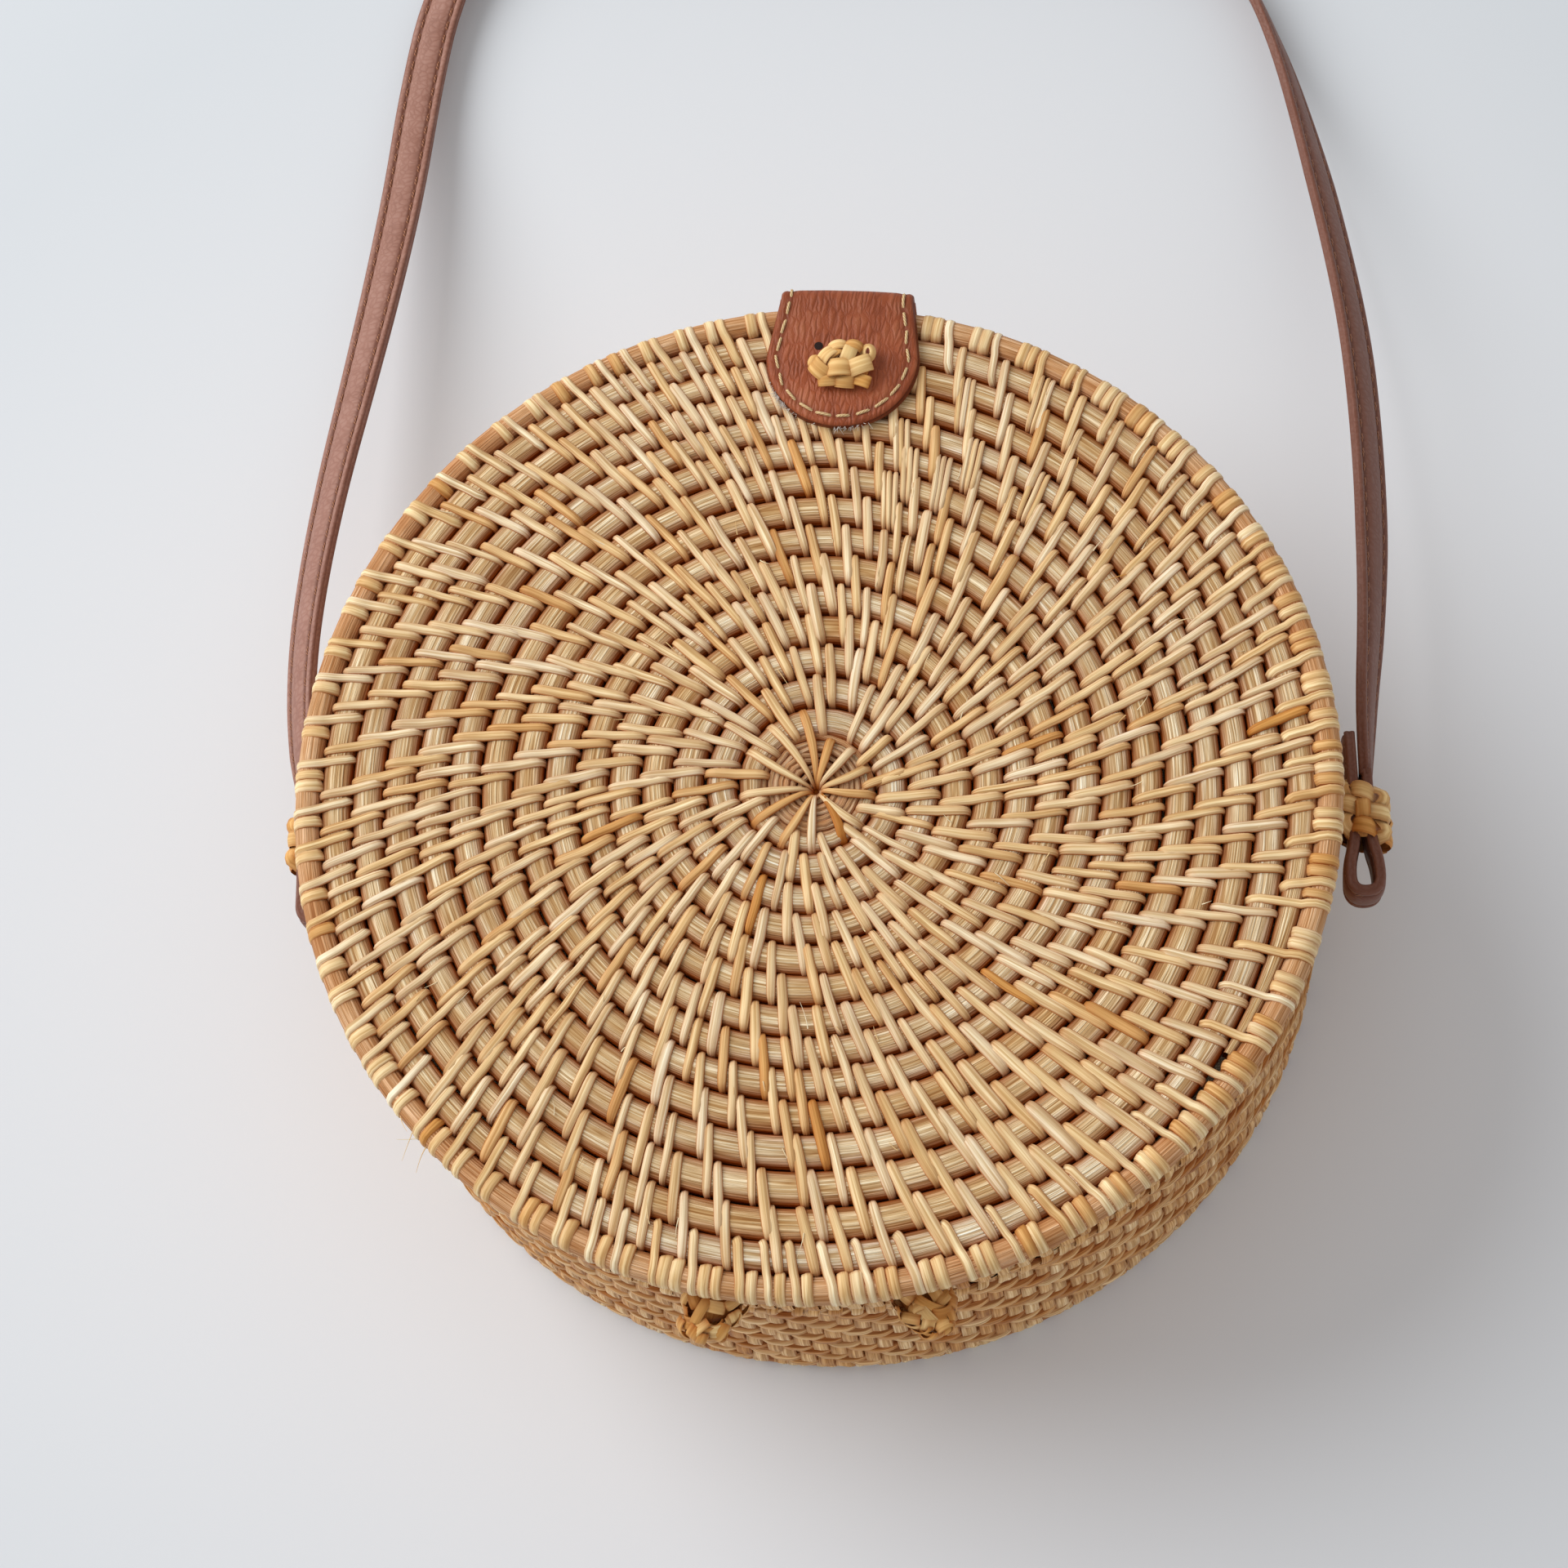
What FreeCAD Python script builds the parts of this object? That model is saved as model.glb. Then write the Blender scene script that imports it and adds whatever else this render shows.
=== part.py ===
import FreeCAD, Part

import math
import os

from FreeCAD import Placement, Rotation, Vector

# Round coiled-rattan shoulder bag, lying on its back.
# Millimetres. +Z is the axis of the two discs, +Y points to the leather tab, -Y to the hinge.
# The origin is on the table under the middle of the back disc.

# Overall sizes
RIM_OUTER_RADIUS = 100.0
BAG_DEPTH = 80.0
LID_DEPTH = 22.0
MOUTH_GAP = 0.3
STANDING_FLAT = 0.5

# Coiled discs: one half-round rod wound outwards, clockwise seen from the front
ROD_WIDTH = 5.5
ROD_HEIGHT = 4.6
COIL_PITCH = 6.1
COIL_START_RADIUS = 6.925
COIL_END_WIDTH = 1.6

# Rims and woven walls
RIM_ROD_WIDTH = 5.6
RIM_ROD_HEIGHT = 6.0
RIM_OVERHANG = 3.0
WALL_THICKNESS = 2.4
BODY_FLARE = 2.2
STAKE_COUNT = 188
COURSE_HEIGHT = 3.5
WALE_DEPTH = 0.8
WALE_STEPS = 8
HOOP_DEPTH = 2.8
HOOP_HEIGHT = 3.5

# Cloth lining
LINING_THICKNESS = 0.6
LINING_EASE = 0.2

# Ring-tie hinge: rattan rings through both walls, knotted on the lid
HINGE_SPACING = 37.6
TIE_RADIUS = 4.6
TIE_THICKNESS = 2.2
HINGE_STANDOFF = 0.2
RUNNING_GAP = 0.3
HINGE_KNOT_SHARE = 0.44

# Rosette knots of plaited strip
KNOT_WIDTH = 13.0
KNOT_HEIGHT = 9.6
KNOT_RISE = 4.2
TAB_KNOT_LEG = 0.5
HINGE_KNOT_LEG = 3.5
STRIP_WIDTH = 2.4
STRIP_SPACING = 3.0
STRIP_STEP = 0.5

# Leather tab: sewn down on the lid, folded over the rim, snapped to the body wall
TAB_TURN = 4.4
TAB_END_Y = 72.2
TAB_WIDTH = 29.8
TAB_FOLD_WIDTH = 26.2
TAB_KNOT_Y = 84.4
LEATHER_THICKNESS = 2.0
FOLD_INNER_RADIUS = 1.0
FOLD_CLEARANCE = 0.2
FOLD_SETBACK = 2.2
FLAP_MARGIN = 11.5

# Snap fastener
SNAP_DROP = 8.5
SNAP_CAP_RADIUS = 6.5
SNAP_CAP_RISE = 2.0
SNAP_SHANK_RADIUS = 2.0
SNAP_SOCKET_RADIUS = 5.5
SNAP_SOCKET_DEPTH = 1.8
SNAP_BASE_RADIUS = 5.0
SNAP_BASE_THICKNESS = 1.0
SNAP_STUD_LENGTH = 1.6
SNAP_HEAD_RADIUS = 4.0

# Shoulder strap: flat folded leather standing on its edge
STRAP_WIDTH = 10.0
STRAP_THICKNESS = 2.6
STRAP_SHARE = 0.569
STRAP_OFFSET = 6.25
LAYER_GAP = 0.2
STUB_END_Y = 25.0
STRAP_START_Y = 12.0
LOOP_NECK_Y = -1.0
LOOP_WIDTH = 5.7
LOOP_SHOULDER_Y = -6.0
LOOP_END_Y = -12.2
WRAP_Y = 4.4
WRAP_THICKNESS = 1.5
WRAP_STRANDS = 4
WRAP_STRAND_WIDTH = 2.6
WRAP_STRAND_STEP = 0.3
STRAP_TIE_SIZE = 6.0

# Free strap on the table, and its put-away coil with both legs wound side by side
TIE_BAND = 0.6
TIE_BAND_WIDTH = 5.0
TURN_RADIUS = 50.0
TURN_SPACING = 6.0
BIGHT_SHARE = 0.41
RIGHT_APPROACH = [(74.0, -2.0), (38.0, 1.0), (25.0, 0.0)]

# Places along the strap as shares of the rim's radius
COIL_ENTRY_SHARES = (-0.68, 2.96)
DROP_SHARES = (0.34, 1.96)
LEFT_SHARES = [(-1.102, 0.27), (-1.115, 0.464), (-1.109, 0.67), (-1.086, 0.91), (-1.052, 1.15),
               (-1.016, 1.42), (-0.976, 1.7), (-0.946, 1.98), (-0.9, 2.24), (-0.79, 2.5)]
RIGHT_SHARES = [(1.086, 0.27), (1.11, 0.46), (1.129, 0.7), (1.134, 0.95), (1.128, 1.19),
                (1.1, 1.45), (1.053, 1.71), (0.986, 2.0), (0.88, 2.26)]

# Each arc of the strap's route takes this share of the shorter run beside it
ROUTE_SHARE = 0.45

# Sizes that follow from those above
MOUTH_HEIGHT = BAG_DEPTH - LID_DEPTH
HINGE_KNOT_LIFT = HINGE_KNOT_SHARE * (LID_DEPTH - RIM_ROD_HEIGHT)
SNAP_HEIGHT = MOUTH_HEIGHT - SNAP_DROP
FLAP_LENGTH = LID_DEPTH - FOLD_INNER_RADIUS + SNAP_DROP + FLAP_MARGIN
STRAP_HEIGHT = STRAP_SHARE * MOUTH_HEIGHT
BIGHT_RADIUS = BIGHT_SHARE * TURN_RADIUS
COIL_ENTRY = Vector(*[share * RIM_OUTER_RADIUS for share in COIL_ENTRY_SHARES], 0)
DROP_START_Y, DROP_END_Y = [share * RIM_OUTER_RADIUS for share in DROP_SHARES]
RIM_INNER_RADIUS = RIM_OUTER_RADIUS - RIM_ROD_WIDTH
RIM_CENTRE_RADIUS = RIM_OUTER_RADIUS - RIM_ROD_WIDTH / 2
WALL_OUTER_RADIUS = RIM_OUTER_RADIUS - RIM_OVERHANG
WALL_INNER_RADIUS = WALL_OUTER_RADIUS - WALL_THICKNESS
LINING_INNER_RADIUS = WALL_INNER_RADIUS - LINING_THICKNESS
BODY_WALL_BOTTOM = RIM_ROD_HEIGHT - STANDING_FLAT
BODY_MOUTH = MOUTH_HEIGHT - MOUTH_GAP / 2
LID_MOUTH = MOUTH_HEIGHT + MOUTH_GAP / 2
LID_WALL_TOP = BAG_DEPTH - RIM_ROD_HEIGHT
HINGE_Y = -(WALL_OUTER_RADIUS + HINGE_STANDOFF)
WALE_COUNT = STAKE_COUNT // 4
WALE_LEAN = 2 * math.pi / STAKE_COUNT / COURSE_HEIGHT
FOLD_Y = RIM_OUTER_RADIUS + FOLD_CLEARANCE - FOLD_INNER_RADIUS
FOLD_Z = BAG_DEPTH - FOLD_INNER_RADIUS
FLAP_INNER_Y = FOLD_Y + FOLD_INNER_RADIUS
FLAP_OUTER_Y = FLAP_INNER_Y + LEATHER_THICKNESS
STRAP_X = RIM_OUTER_RADIUS + STRAP_OFFSET
LAYER_X = (STRAP_THICKNESS + LAYER_GAP) / 2
TABLE_Z = TIE_BAND + STRAP_WIDTH / 2
UP = Vector(0, 0, 1)


def ring(inner_radius, outer_radius, bottom, top):
    """Plain round band between two heights."""
    outer = Part.makeCylinder(outer_radius, top - bottom, Vector(0, 0, bottom))
    inner = Part.makeCylinder(inner_radius, top - bottom, Vector(0, 0, bottom))
    return outer.cut(inner)


def half_round(width, height, place, across, out):
    """Outline of a half-round rod: flat base centred on place, round side towards out."""
    half = across * (width / 2)
    shoulder = out * (height - width / 2)
    corners = [place - half, place + half, place + half + shoulder, place - half + shoulder]
    crown = place + out * height
    edges = [
        Part.LineSegment(corners[0], corners[1]).toShape(),
        Part.LineSegment(corners[1], corners[2]).toShape(),
        Part.Arc(corners[2], crown, corners[3]).toShape(),
        Part.LineSegment(corners[3], corners[0]).toShape(),
    ]
    return Part.Wire(edges)


def hoop(width, height, place, across, out):
    """Closed hoop of half-round rod about the bag's axis."""
    outline = Part.Face(half_round(width, height, place, across, out))
    return outline.revolve(Vector(0, 0, 0), UP, 360)


def rim(base, out):
    """Rim rod of a disc: flat against the wall, round side facing out of the bag."""
    place = Vector(RIM_CENTRE_RADIUS, 0, base)
    return hoop(RIM_ROD_WIDTH, RIM_ROD_HEIGHT, place, Vector(1, 0, 0), out)


def coil_arcs():
    """Half turns of the disc's spiral as (centre x, radius, start angle, swept angle)."""
    arcs = []
    radius = COIL_START_RADIUS
    side = 1
    inner_limit = RIM_INNER_RADIUS - COIL_END_WIDTH + ROD_WIDTH / 2
    while radius + COIL_PITCH / 4 < inner_limit:
        arcs.append((-side * COIL_PITCH / 4, radius, 0 if side > 0 else 180, -180))
        radius += COIL_PITCH / 2
        side = -side
    if radius < inner_limit:
        arcs.append((-side * COIL_PITCH / 4, radius, 0 if side > 0 else 180, -90))
    return arcs


def on_arc(arc, share, height):
    """Point on one arc of the spiral, at a share of its sweep."""
    centre_x, radius, start, sweep = arc
    angle = math.radians(start + sweep * share)
    return Vector(centre_x + radius * math.cos(angle), radius * math.sin(angle), height)


def coil(base, out, rim_rod):
    """Disc of one unbroken half-round rod, scarfed where its last turn meets the rim."""
    arcs = coil_arcs()
    edges = [Part.Arc(*[on_arc(arc, share, base) for share in (0, 0.5, 1)]).toShape() for arc in arcs]
    start = on_arc(arcs[0], 0, base)
    outline = half_round(ROD_WIDTH, ROD_HEIGHT, start, Vector(1, 0, 0), out)
    return Part.Wire(edges).makePipeShell([outline], True, False).cut(rim_rod)


def coil_gap():
    """Least gap between neighbouring turns of the spiral, measured on points."""
    arcs = coil_arcs()
    shares = [step / 12 for step in range(13)]
    nearest = COIL_PITCH
    for inner, outer in zip(arcs, arcs[2:]):
        for share in shares:
            place = on_arc(inner, share, 0)
            nearest = min([nearest] + [place.distanceToPoint(on_arc(outer, other, 0)) for other in shares])
    return nearest - ROD_WIDTH


def body_flare(height):
    """How far the body's wall stands out at a height: none at the mouth hoop, most at the back."""
    start = BODY_MOUTH - HOOP_HEIGHT
    return BODY_FLARE * max(0.0, start - height) / (start - BODY_WALL_BOTTOM)


def wale_line(index, base, top):
    """Ridge or groove of the twill, leaning round the wall from its base to its top."""
    points = []
    for step in range(WALE_STEPS + 1):
        height = base + (top - base) * step / WALE_STEPS
        turn = math.pi * (index + 0.5) / WALE_COUNT - WALE_LEAN * (height - base)
        radius = WALL_OUTER_RADIUS + body_flare(height) - WALE_DEPTH * (index % 2)
        points.append(Vector(radius * math.cos(turn), radius * math.sin(turn), height))
    line = Part.BSplineCurve()
    line.interpolate(points)
    return line.toShape()


def twill_wall(base, top):
    """Woven wall of the lid or the body, with the slanting ridges of its twill."""
    lines = [wale_line(index, base, top) for index in range(2 * WALE_COUNT)]
    faces = [Part.makeRuledSurface(line, after) for line, after in zip(lines, lines[1:] + lines[:1])]
    for end in (0, -1):
        corners = [line.Vertexes[end].Point for line in lines]
        faces.append(Part.Face(Part.makePolygon(corners + corners[:1])))
    shell = Part.makeShell(faces)
    shell.sewShape()
    block = Part.makeSolid(shell)
    if block.Volume < 0:
        block.reverse()
    levels = [height for height in (base, BODY_MOUTH - HOOP_HEIGHT, top) if height >= base]
    bore = [Vector(WALL_INNER_RADIUS + body_flare(height), 0, height) for height in levels]
    outline = Part.makePolygon([Vector(0, 0, base)] + bore + [Vector(0, 0, top), Vector(0, 0, base)])
    return block.cut(Part.Face(outline).revolve(Vector(0, 0, 0), UP, 360))


def flared_ring(inner_radius, outer_radius):
    """Band inside the body's wall, from the back up to the mouth hoop."""
    levels = [BODY_WALL_BOTTOM, BODY_MOUTH - HOOP_HEIGHT]
    outer = [Vector(outer_radius + body_flare(height), 0, height) for height in levels]
    inner = [Vector(inner_radius + body_flare(height), 0, height) for height in reversed(levels)]
    outline = Part.makePolygon(outer + inner + outer[:1])
    return Part.Face(outline).revolve(Vector(0, 0, 0), UP, 360)


def mouth_hoop(bottom):
    """Half-round hoop that stiffens a mouth, its flat side on the wall, notched for the hinge rings."""
    place = Vector(WALL_INNER_RADIUS, 0, bottom + HOOP_HEIGHT / 2)
    rod = hoop(HOOP_HEIGHT, HOOP_DEPTH, place, UP, Vector(-1, 0, 0))
    wide = TIE_THICKNESS + 2 * RUNNING_GAP
    deep = TIE_RADIUS + TIE_THICKNESS / 2 + RUNNING_GAP
    notches = []
    for side in (-1, 1):
        corner = Vector(side * HINGE_SPACING / 2 - wide / 2, HINGE_Y, bottom)
        notches.append(Part.makeBox(wide, deep, HOOP_HEIGHT, corner))
    return rod.cut(notches)


def lining_disc(bottom):
    """Round piece of lining on the flat inside of a coil."""
    return Part.makeCylinder(RIM_INNER_RADIUS - LINING_EASE, LINING_THICKNESS, Vector(0, 0, bottom))


def tie_ring(side, clearance=0.0):
    """Rattan ring of the hinge, or the room that it needs, round the hinge axis."""
    centre = Vector(side * HINGE_SPACING / 2, HINGE_Y, MOUTH_HEIGHT)
    return Part.makeTorus(TIE_RADIUS, TIE_THICKNESS / 2 + clearance, centre, Vector(1, 0, 0))


def arch(length, leg, rise, offset):
    """One strip of a knot: a low arch along X on two straight legs."""
    side = offset - STRIP_WIDTH / 2
    feet = [Vector(-length / 2, side, 0), Vector(length / 2, side, 0)]
    shoulders = [foot + UP * leg for foot in feet]
    crown = Vector(0, side, leg + rise)
    edges = [
        Part.LineSegment(feet[0], feet[1]).toShape(),
        Part.LineSegment(feet[1], shoulders[1]).toShape(),
        Part.Arc(shoulders[1], crown, shoulders[0]).toShape(),
        Part.LineSegment(shoulders[0], feet[0]).toShape(),
    ]
    return Part.Face(Part.Wire(edges)).extrude(Vector(0, STRIP_WIDTH, 0))


def rosette(leg):
    """Plaited knot: three strips one way over three the other, on a flat base."""
    turn = Placement(Vector(0, 0, 0), Rotation(UP, 90))
    stretch = KNOT_WIDTH / KNOT_HEIGHT
    strips = []
    for place in (-1, 0, 1):
        drop = STRIP_STEP * abs(place)
        along = arch(KNOT_WIDTH - 2 * drop, leg, KNOT_RISE - drop, place * STRIP_SPACING)
        across = arch(KNOT_HEIGHT - 2 * drop, leg, KNOT_RISE - 2 * drop, place * STRIP_SPACING * stretch)
        across.Placement = turn
        strips += [along, across]
    return strips[0].multiFuse(strips[1:]).removeSplitter()


def hinge_knot(side):
    """Knot on the lid's wall that holds the tie ring, seated on the wall's curve."""
    knot = rosette(HINGE_KNOT_LEG + WALL_THICKNESS)
    place = Vector(side * HINGE_SPACING / 2, -WALL_INNER_RADIUS, MOUTH_HEIGHT + HINGE_KNOT_LIFT)
    knot.Placement = Placement(place, Rotation(Vector(1, 0, 0), 90))
    core = Part.makeCylinder(WALL_OUTER_RADIUS, BAG_DEPTH)
    return knot.cut(core).cut(tie_ring(side, RUNNING_GAP))


def at_tab(shape):
    """Turns a shape from the bag's middle plane to the tab's place on the rim."""
    placed = shape.copy()
    placed.rotate(Vector(0, 0, 0), UP, -TAB_TURN)
    return placed


def tab_knot():
    """Knot that holds the tab down on the lid."""
    knot = rosette(TAB_KNOT_LEG)
    knot.Placement = Placement(Vector(0, TAB_KNOT_Y, BAG_DEPTH + LEATHER_THICKNESS), Rotation())
    return at_tab(knot)


def rounded_plate(start_width, end_width, length, thickness):
    """Leather tongue from the origin along +Y, widening to a round end."""
    straight = length - end_width / 2
    near = start_width / 2
    far = end_width / 2
    corners = [Vector(-near, 0, 0), Vector(near, 0, 0), Vector(far, straight, 0), Vector(-far, straight, 0)]
    edges = [
        Part.LineSegment(corners[0], corners[1]).toShape(),
        Part.LineSegment(corners[1], corners[2]).toShape(),
        Part.Arc(corners[2], Vector(0, length, 0), corners[3]).toShape(),
        Part.LineSegment(corners[3], corners[0]).toShape(),
    ]
    return Part.Face(Part.Wire(edges)).extrude(Vector(0, 0, thickness))


def tab_top():
    """Sewn-down end of the tab, on the lid's coil."""
    start = FOLD_Y - FOLD_SETBACK
    plate = rounded_plate(TAB_FOLD_WIDTH, TAB_WIDTH, start - TAB_END_Y, LEATHER_THICKNESS)
    plate.Placement = Placement(Vector(0, start, BAG_DEPTH), Rotation(UP, 180))
    return at_tab(plate)


def tab_fold():
    """Soft bend of the tab over the rim."""
    corner = Vector(-TAB_FOLD_WIDTH / 2, FOLD_Y, FOLD_Z)
    along = Vector(1, 0, 0)
    outer_radius = FOLD_INNER_RADIUS + LEATHER_THICKNESS
    outer = Part.makeCylinder(outer_radius, TAB_FOLD_WIDTH, corner, along)
    inner = Part.makeCylinder(FOLD_INNER_RADIUS, TAB_FOLD_WIDTH, corner, along)
    quarter = Part.makeBox(TAB_FOLD_WIDTH, outer_radius, outer_radius, corner)
    flat_corner = corner + Vector(0, -FOLD_SETBACK, FOLD_INNER_RADIUS)
    flat = Part.makeBox(TAB_FOLD_WIDTH, FOLD_SETBACK, LEATHER_THICKNESS, flat_corner)
    return at_tab(outer.cut(inner).common(quarter).fuse(flat).removeSplitter())


def snap_place(depth):
    """Point on the snap's axis at a distance from the bag's axis."""
    return Vector(0, depth, SNAP_HEIGHT)


def snap_cap():
    """Domed cap on the outside of the flap, with the shank that goes through it."""
    out = Vector(0, 1, 0)
    shank = Part.makeCylinder(SNAP_SHANK_RADIUS, LEATHER_THICKNESS, snap_place(FLAP_INNER_Y), out)
    edge = SNAP_CAP_RISE / 4
    base = Vector(0, 0, 0)
    rim_low = Vector(SNAP_CAP_RADIUS, 0, 0)
    rim_high = Vector(SNAP_CAP_RADIUS, 0, edge)
    crown = Vector(0, 0, SNAP_CAP_RISE)
    lean = math.radians(45)
    bulge = SNAP_CAP_RISE - edge
    middle = Vector(SNAP_CAP_RADIUS * math.sin(lean), 0, edge + bulge * math.cos(lean))
    outline = Part.Wire([
        Part.LineSegment(base, rim_low).toShape(),
        Part.LineSegment(rim_low, rim_high).toShape(),
        Part.LineSegment(rim_high, middle).toShape(),
        Part.LineSegment(middle, crown).toShape(),
        Part.LineSegment(crown, base).toShape(),
    ])
    dome = Part.Face(outline).revolve(base, UP, 360)
    dome.Placement = Placement(snap_place(FLAP_OUTER_Y), Rotation(UP, out))
    return at_tab(dome.fuse(shank).removeSplitter())


def snap_socket():
    """Ring on the inside of the flap that grips the stud."""
    start = snap_place(FLAP_INNER_Y - SNAP_SOCKET_DEPTH)
    out = Vector(0, 1, 0)
    body = Part.makeCylinder(SNAP_SOCKET_RADIUS, SNAP_SOCKET_DEPTH, start, out)
    return at_tab(body.cut(Part.makeCylinder(SNAP_SHANK_RADIUS + RUNNING_GAP, SNAP_SOCKET_DEPTH, start, out)))


def snap_stud():
    """Stud riveted through the body's wall under the flap."""
    out = Vector(0, 1, 0)
    head_depth = LINING_INNER_RADIUS + body_flare(SNAP_HEIGHT) - SNAP_BASE_THICKNESS
    base_depth = WALL_OUTER_RADIUS + body_flare(SNAP_HEIGHT)
    head = Part.makeCylinder(SNAP_HEAD_RADIUS, SNAP_BASE_THICKNESS, snap_place(head_depth), out)
    base = Part.makeCylinder(SNAP_BASE_RADIUS, SNAP_BASE_THICKNESS, snap_place(base_depth), out)
    post_length = base_depth + SNAP_BASE_THICKNESS + SNAP_STUD_LENGTH - head_depth
    post = Part.makeCylinder(SNAP_SHANK_RADIUS, post_length, snap_place(head_depth), out)
    return at_tab(post.multiFuse([head, base]).removeSplitter())


def tab_flap(cap):
    """Free end of the tab, hanging over the wall."""
    plate = rounded_plate(TAB_FOLD_WIDTH, TAB_FOLD_WIDTH, FLAP_LENGTH, LEATHER_THICKNESS)
    plate.Placement = Placement(Vector(0, FLAP_INNER_Y, FOLD_Z), Rotation(Vector(1, 0, 0), -90))
    return at_tab(plate).cut(cap)


def rounded_route(points):
    """Straight runs joined by tangent arcs, with the radii of the arcs."""
    edges = []
    radii = []
    cursor = points[0]
    for before, corner, after in zip(points, points[1:], points[2:]):
        back = before - corner
        ahead = after - corner
        reach = ROUTE_SHARE * min(back.Length, ahead.Length)
        half_turn = (math.pi - back.getAngle(ahead)) / 2
        radius = reach / math.tan(half_turn)
        back.normalize()
        ahead.normalize()
        inward = back + ahead
        inward.normalize()
        middle = corner + inward * (radius / math.cos(half_turn) - radius)
        arc_start = corner + back * reach
        arc_end = corner + ahead * reach
        edges.append(Part.LineSegment(cursor, arc_start).toShape())
        edges.append(Part.Arc(arc_start, middle, arc_end).toShape())
        radii.append(radius)
        cursor = arc_end
    edges.append(Part.LineSegment(cursor, points[-1]).toShape())
    return edges, radii


def standing_strip(edges, bottom, height):
    """Strip of strap leather standing on edge along a flat route."""
    path = Part.Wire(edges)
    start = path.OrderedVertexes[0].Point
    first = path.OrderedEdges[0]
    ahead = first.tangentAt(first.FirstParameter)
    across = Vector(-ahead.y, ahead.x, 0) * (STRAP_THICKNESS / 2)
    low = Vector(start.x, start.y, bottom)
    rise = Vector(0, 0, height)
    corners = [low - across, low + across, low + across + rise, low - across + rise, low - across]
    return path.makePipeShell([Part.makePolygon(corners)], True, False), path.Length


def strap_end(side):
    """Folded end of the strap: stub, teardrop loop and the layer that runs on as the strap."""
    half_loop = LOOP_WIDTH / 2
    plan = [
        (-LAYER_X - LAYER_GAP, STUB_END_Y), (-LAYER_X, WRAP_Y + STRAP_WIDTH / 2), (-LAYER_X, LOOP_NECK_Y),
        (-half_loop, LOOP_SHOULDER_Y), (-half_loop, LOOP_END_Y), (half_loop, LOOP_END_Y),
        (half_loop, LOOP_SHOULDER_Y), (LAYER_X, LOOP_NECK_Y), (LAYER_X, STRAP_START_Y),
    ]
    bottom = STRAP_HEIGHT - STRAP_WIDTH / 2
    points = [Vector(side * (STRAP_X + x), y, bottom) for x, y in plan]
    edges, _ = rounded_route(points)
    return standing_strip(edges, bottom, STRAP_WIDTH)[0]


def rounded_block(size_x, size_y, size_z, centre, radius):
    """Block with its four edges along Y rounded."""
    corner = centre - Vector(size_x, size_y, size_z) / 2
    block = Part.makeBox(size_x, size_y, size_z, corner)
    along = [edge for edge in block.Edges if abs(edge.tangentAt(edge.FirstParameter).y) > 0.5]
    return block.makeFillet(radius, along)


def strap_wrap(side, end):
    """Rattan binding round both layers of a strap end, tied through the wall."""
    slot_x = 2 * LAYER_X + STRAP_THICKNESS
    strands = []
    for index in range(WRAP_STRANDS):
        swell = WRAP_STRAND_STEP if 0 < index < WRAP_STRANDS - 1 else 0
        place = (index - (WRAP_STRANDS - 1) / 2) * WRAP_STRAND_WIDTH
        centre = Vector(side * STRAP_X, WRAP_Y + place, STRAP_HEIGHT)
        size_x = slot_x + 2 * (WRAP_THICKNESS + swell)
        size_z = STRAP_WIDTH + 2 * (WRAP_THICKNESS + swell)
        strands.append(rounded_block(size_x, WRAP_STRAND_WIDTH, size_z, centre, WRAP_THICKNESS))
    stem_length = STRAP_X - LINING_INNER_RADIUS - body_flare(STRAP_HEIGHT)
    stem_centre = Vector(side * (STRAP_X - stem_length / 2), WRAP_Y, STRAP_HEIGHT)
    stem_size = Vector(stem_length, STRAP_TIE_SIZE, STRAP_TIE_SIZE)
    stem = Part.makeBox(*stem_size, stem_centre - stem_size / 2)
    slot_size = Vector(slot_x, WRAP_STRANDS * WRAP_STRAND_WIDTH, STRAP_WIDTH)
    slot = Part.makeBox(*slot_size, Vector(side * STRAP_X, WRAP_Y, STRAP_HEIGHT) - slot_size / 2)
    return strands[0].multiFuse(strands[1:] + [stem]).removeSplitter().cut(slot).cut(end)


def strap_leg(name, points):
    """Free strap from its knot down to the table and on to the coil."""
    tall = STRAP_HEIGHT + STRAP_WIDTH
    edges, radii = rounded_route([Vector(x, y, 0) for x, y in points])
    fence, length = standing_strip(edges, 0, tall)
    far_y = max(y for x, y in points) + STRAP_WIDTH
    near_y = points[0][1] - STRAP_WIDTH
    side_view = [
        (near_y, STRAP_HEIGHT), (DROP_START_Y, STRAP_HEIGHT),
        (DROP_END_Y, TABLE_Z), (far_y, TABLE_Z),
    ]
    reach = STRAP_X + 2 * STRAP_WIDTH
    drop, _ = rounded_route([Vector(-reach, y, z) for y, z in side_view])
    lift = Vector(0, 0, STRAP_WIDTH / 2)
    upper = Part.Wire([edge.translated(lift) for edge in drop])
    lower = Part.Wire([edge.translated(-lift) for edge in drop])
    low_ends = [vertex.Point for vertex in lower.OrderedVertexes]
    high_ends = [vertex.Point for vertex in upper.OrderedVertexes]
    sides = [Part.LineSegment(low_ends[end], high_ends[end]).toShape() for end in (0, -1)]
    band = Part.Face(Part.Wire(Part.__sortEdges__(upper.Edges + lower.Edges + sides)))
    strip = fence.common(band.extrude(Vector(2 * reach, 0, 0)))
    expected = STRAP_THICKNESS * STRAP_WIDTH * length
    print(name, "length", round(length, 1), "least radius", round(min(radii), 1),
          "volume over section times length", round(strip.Volume / expected, 4))
    return strip


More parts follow.
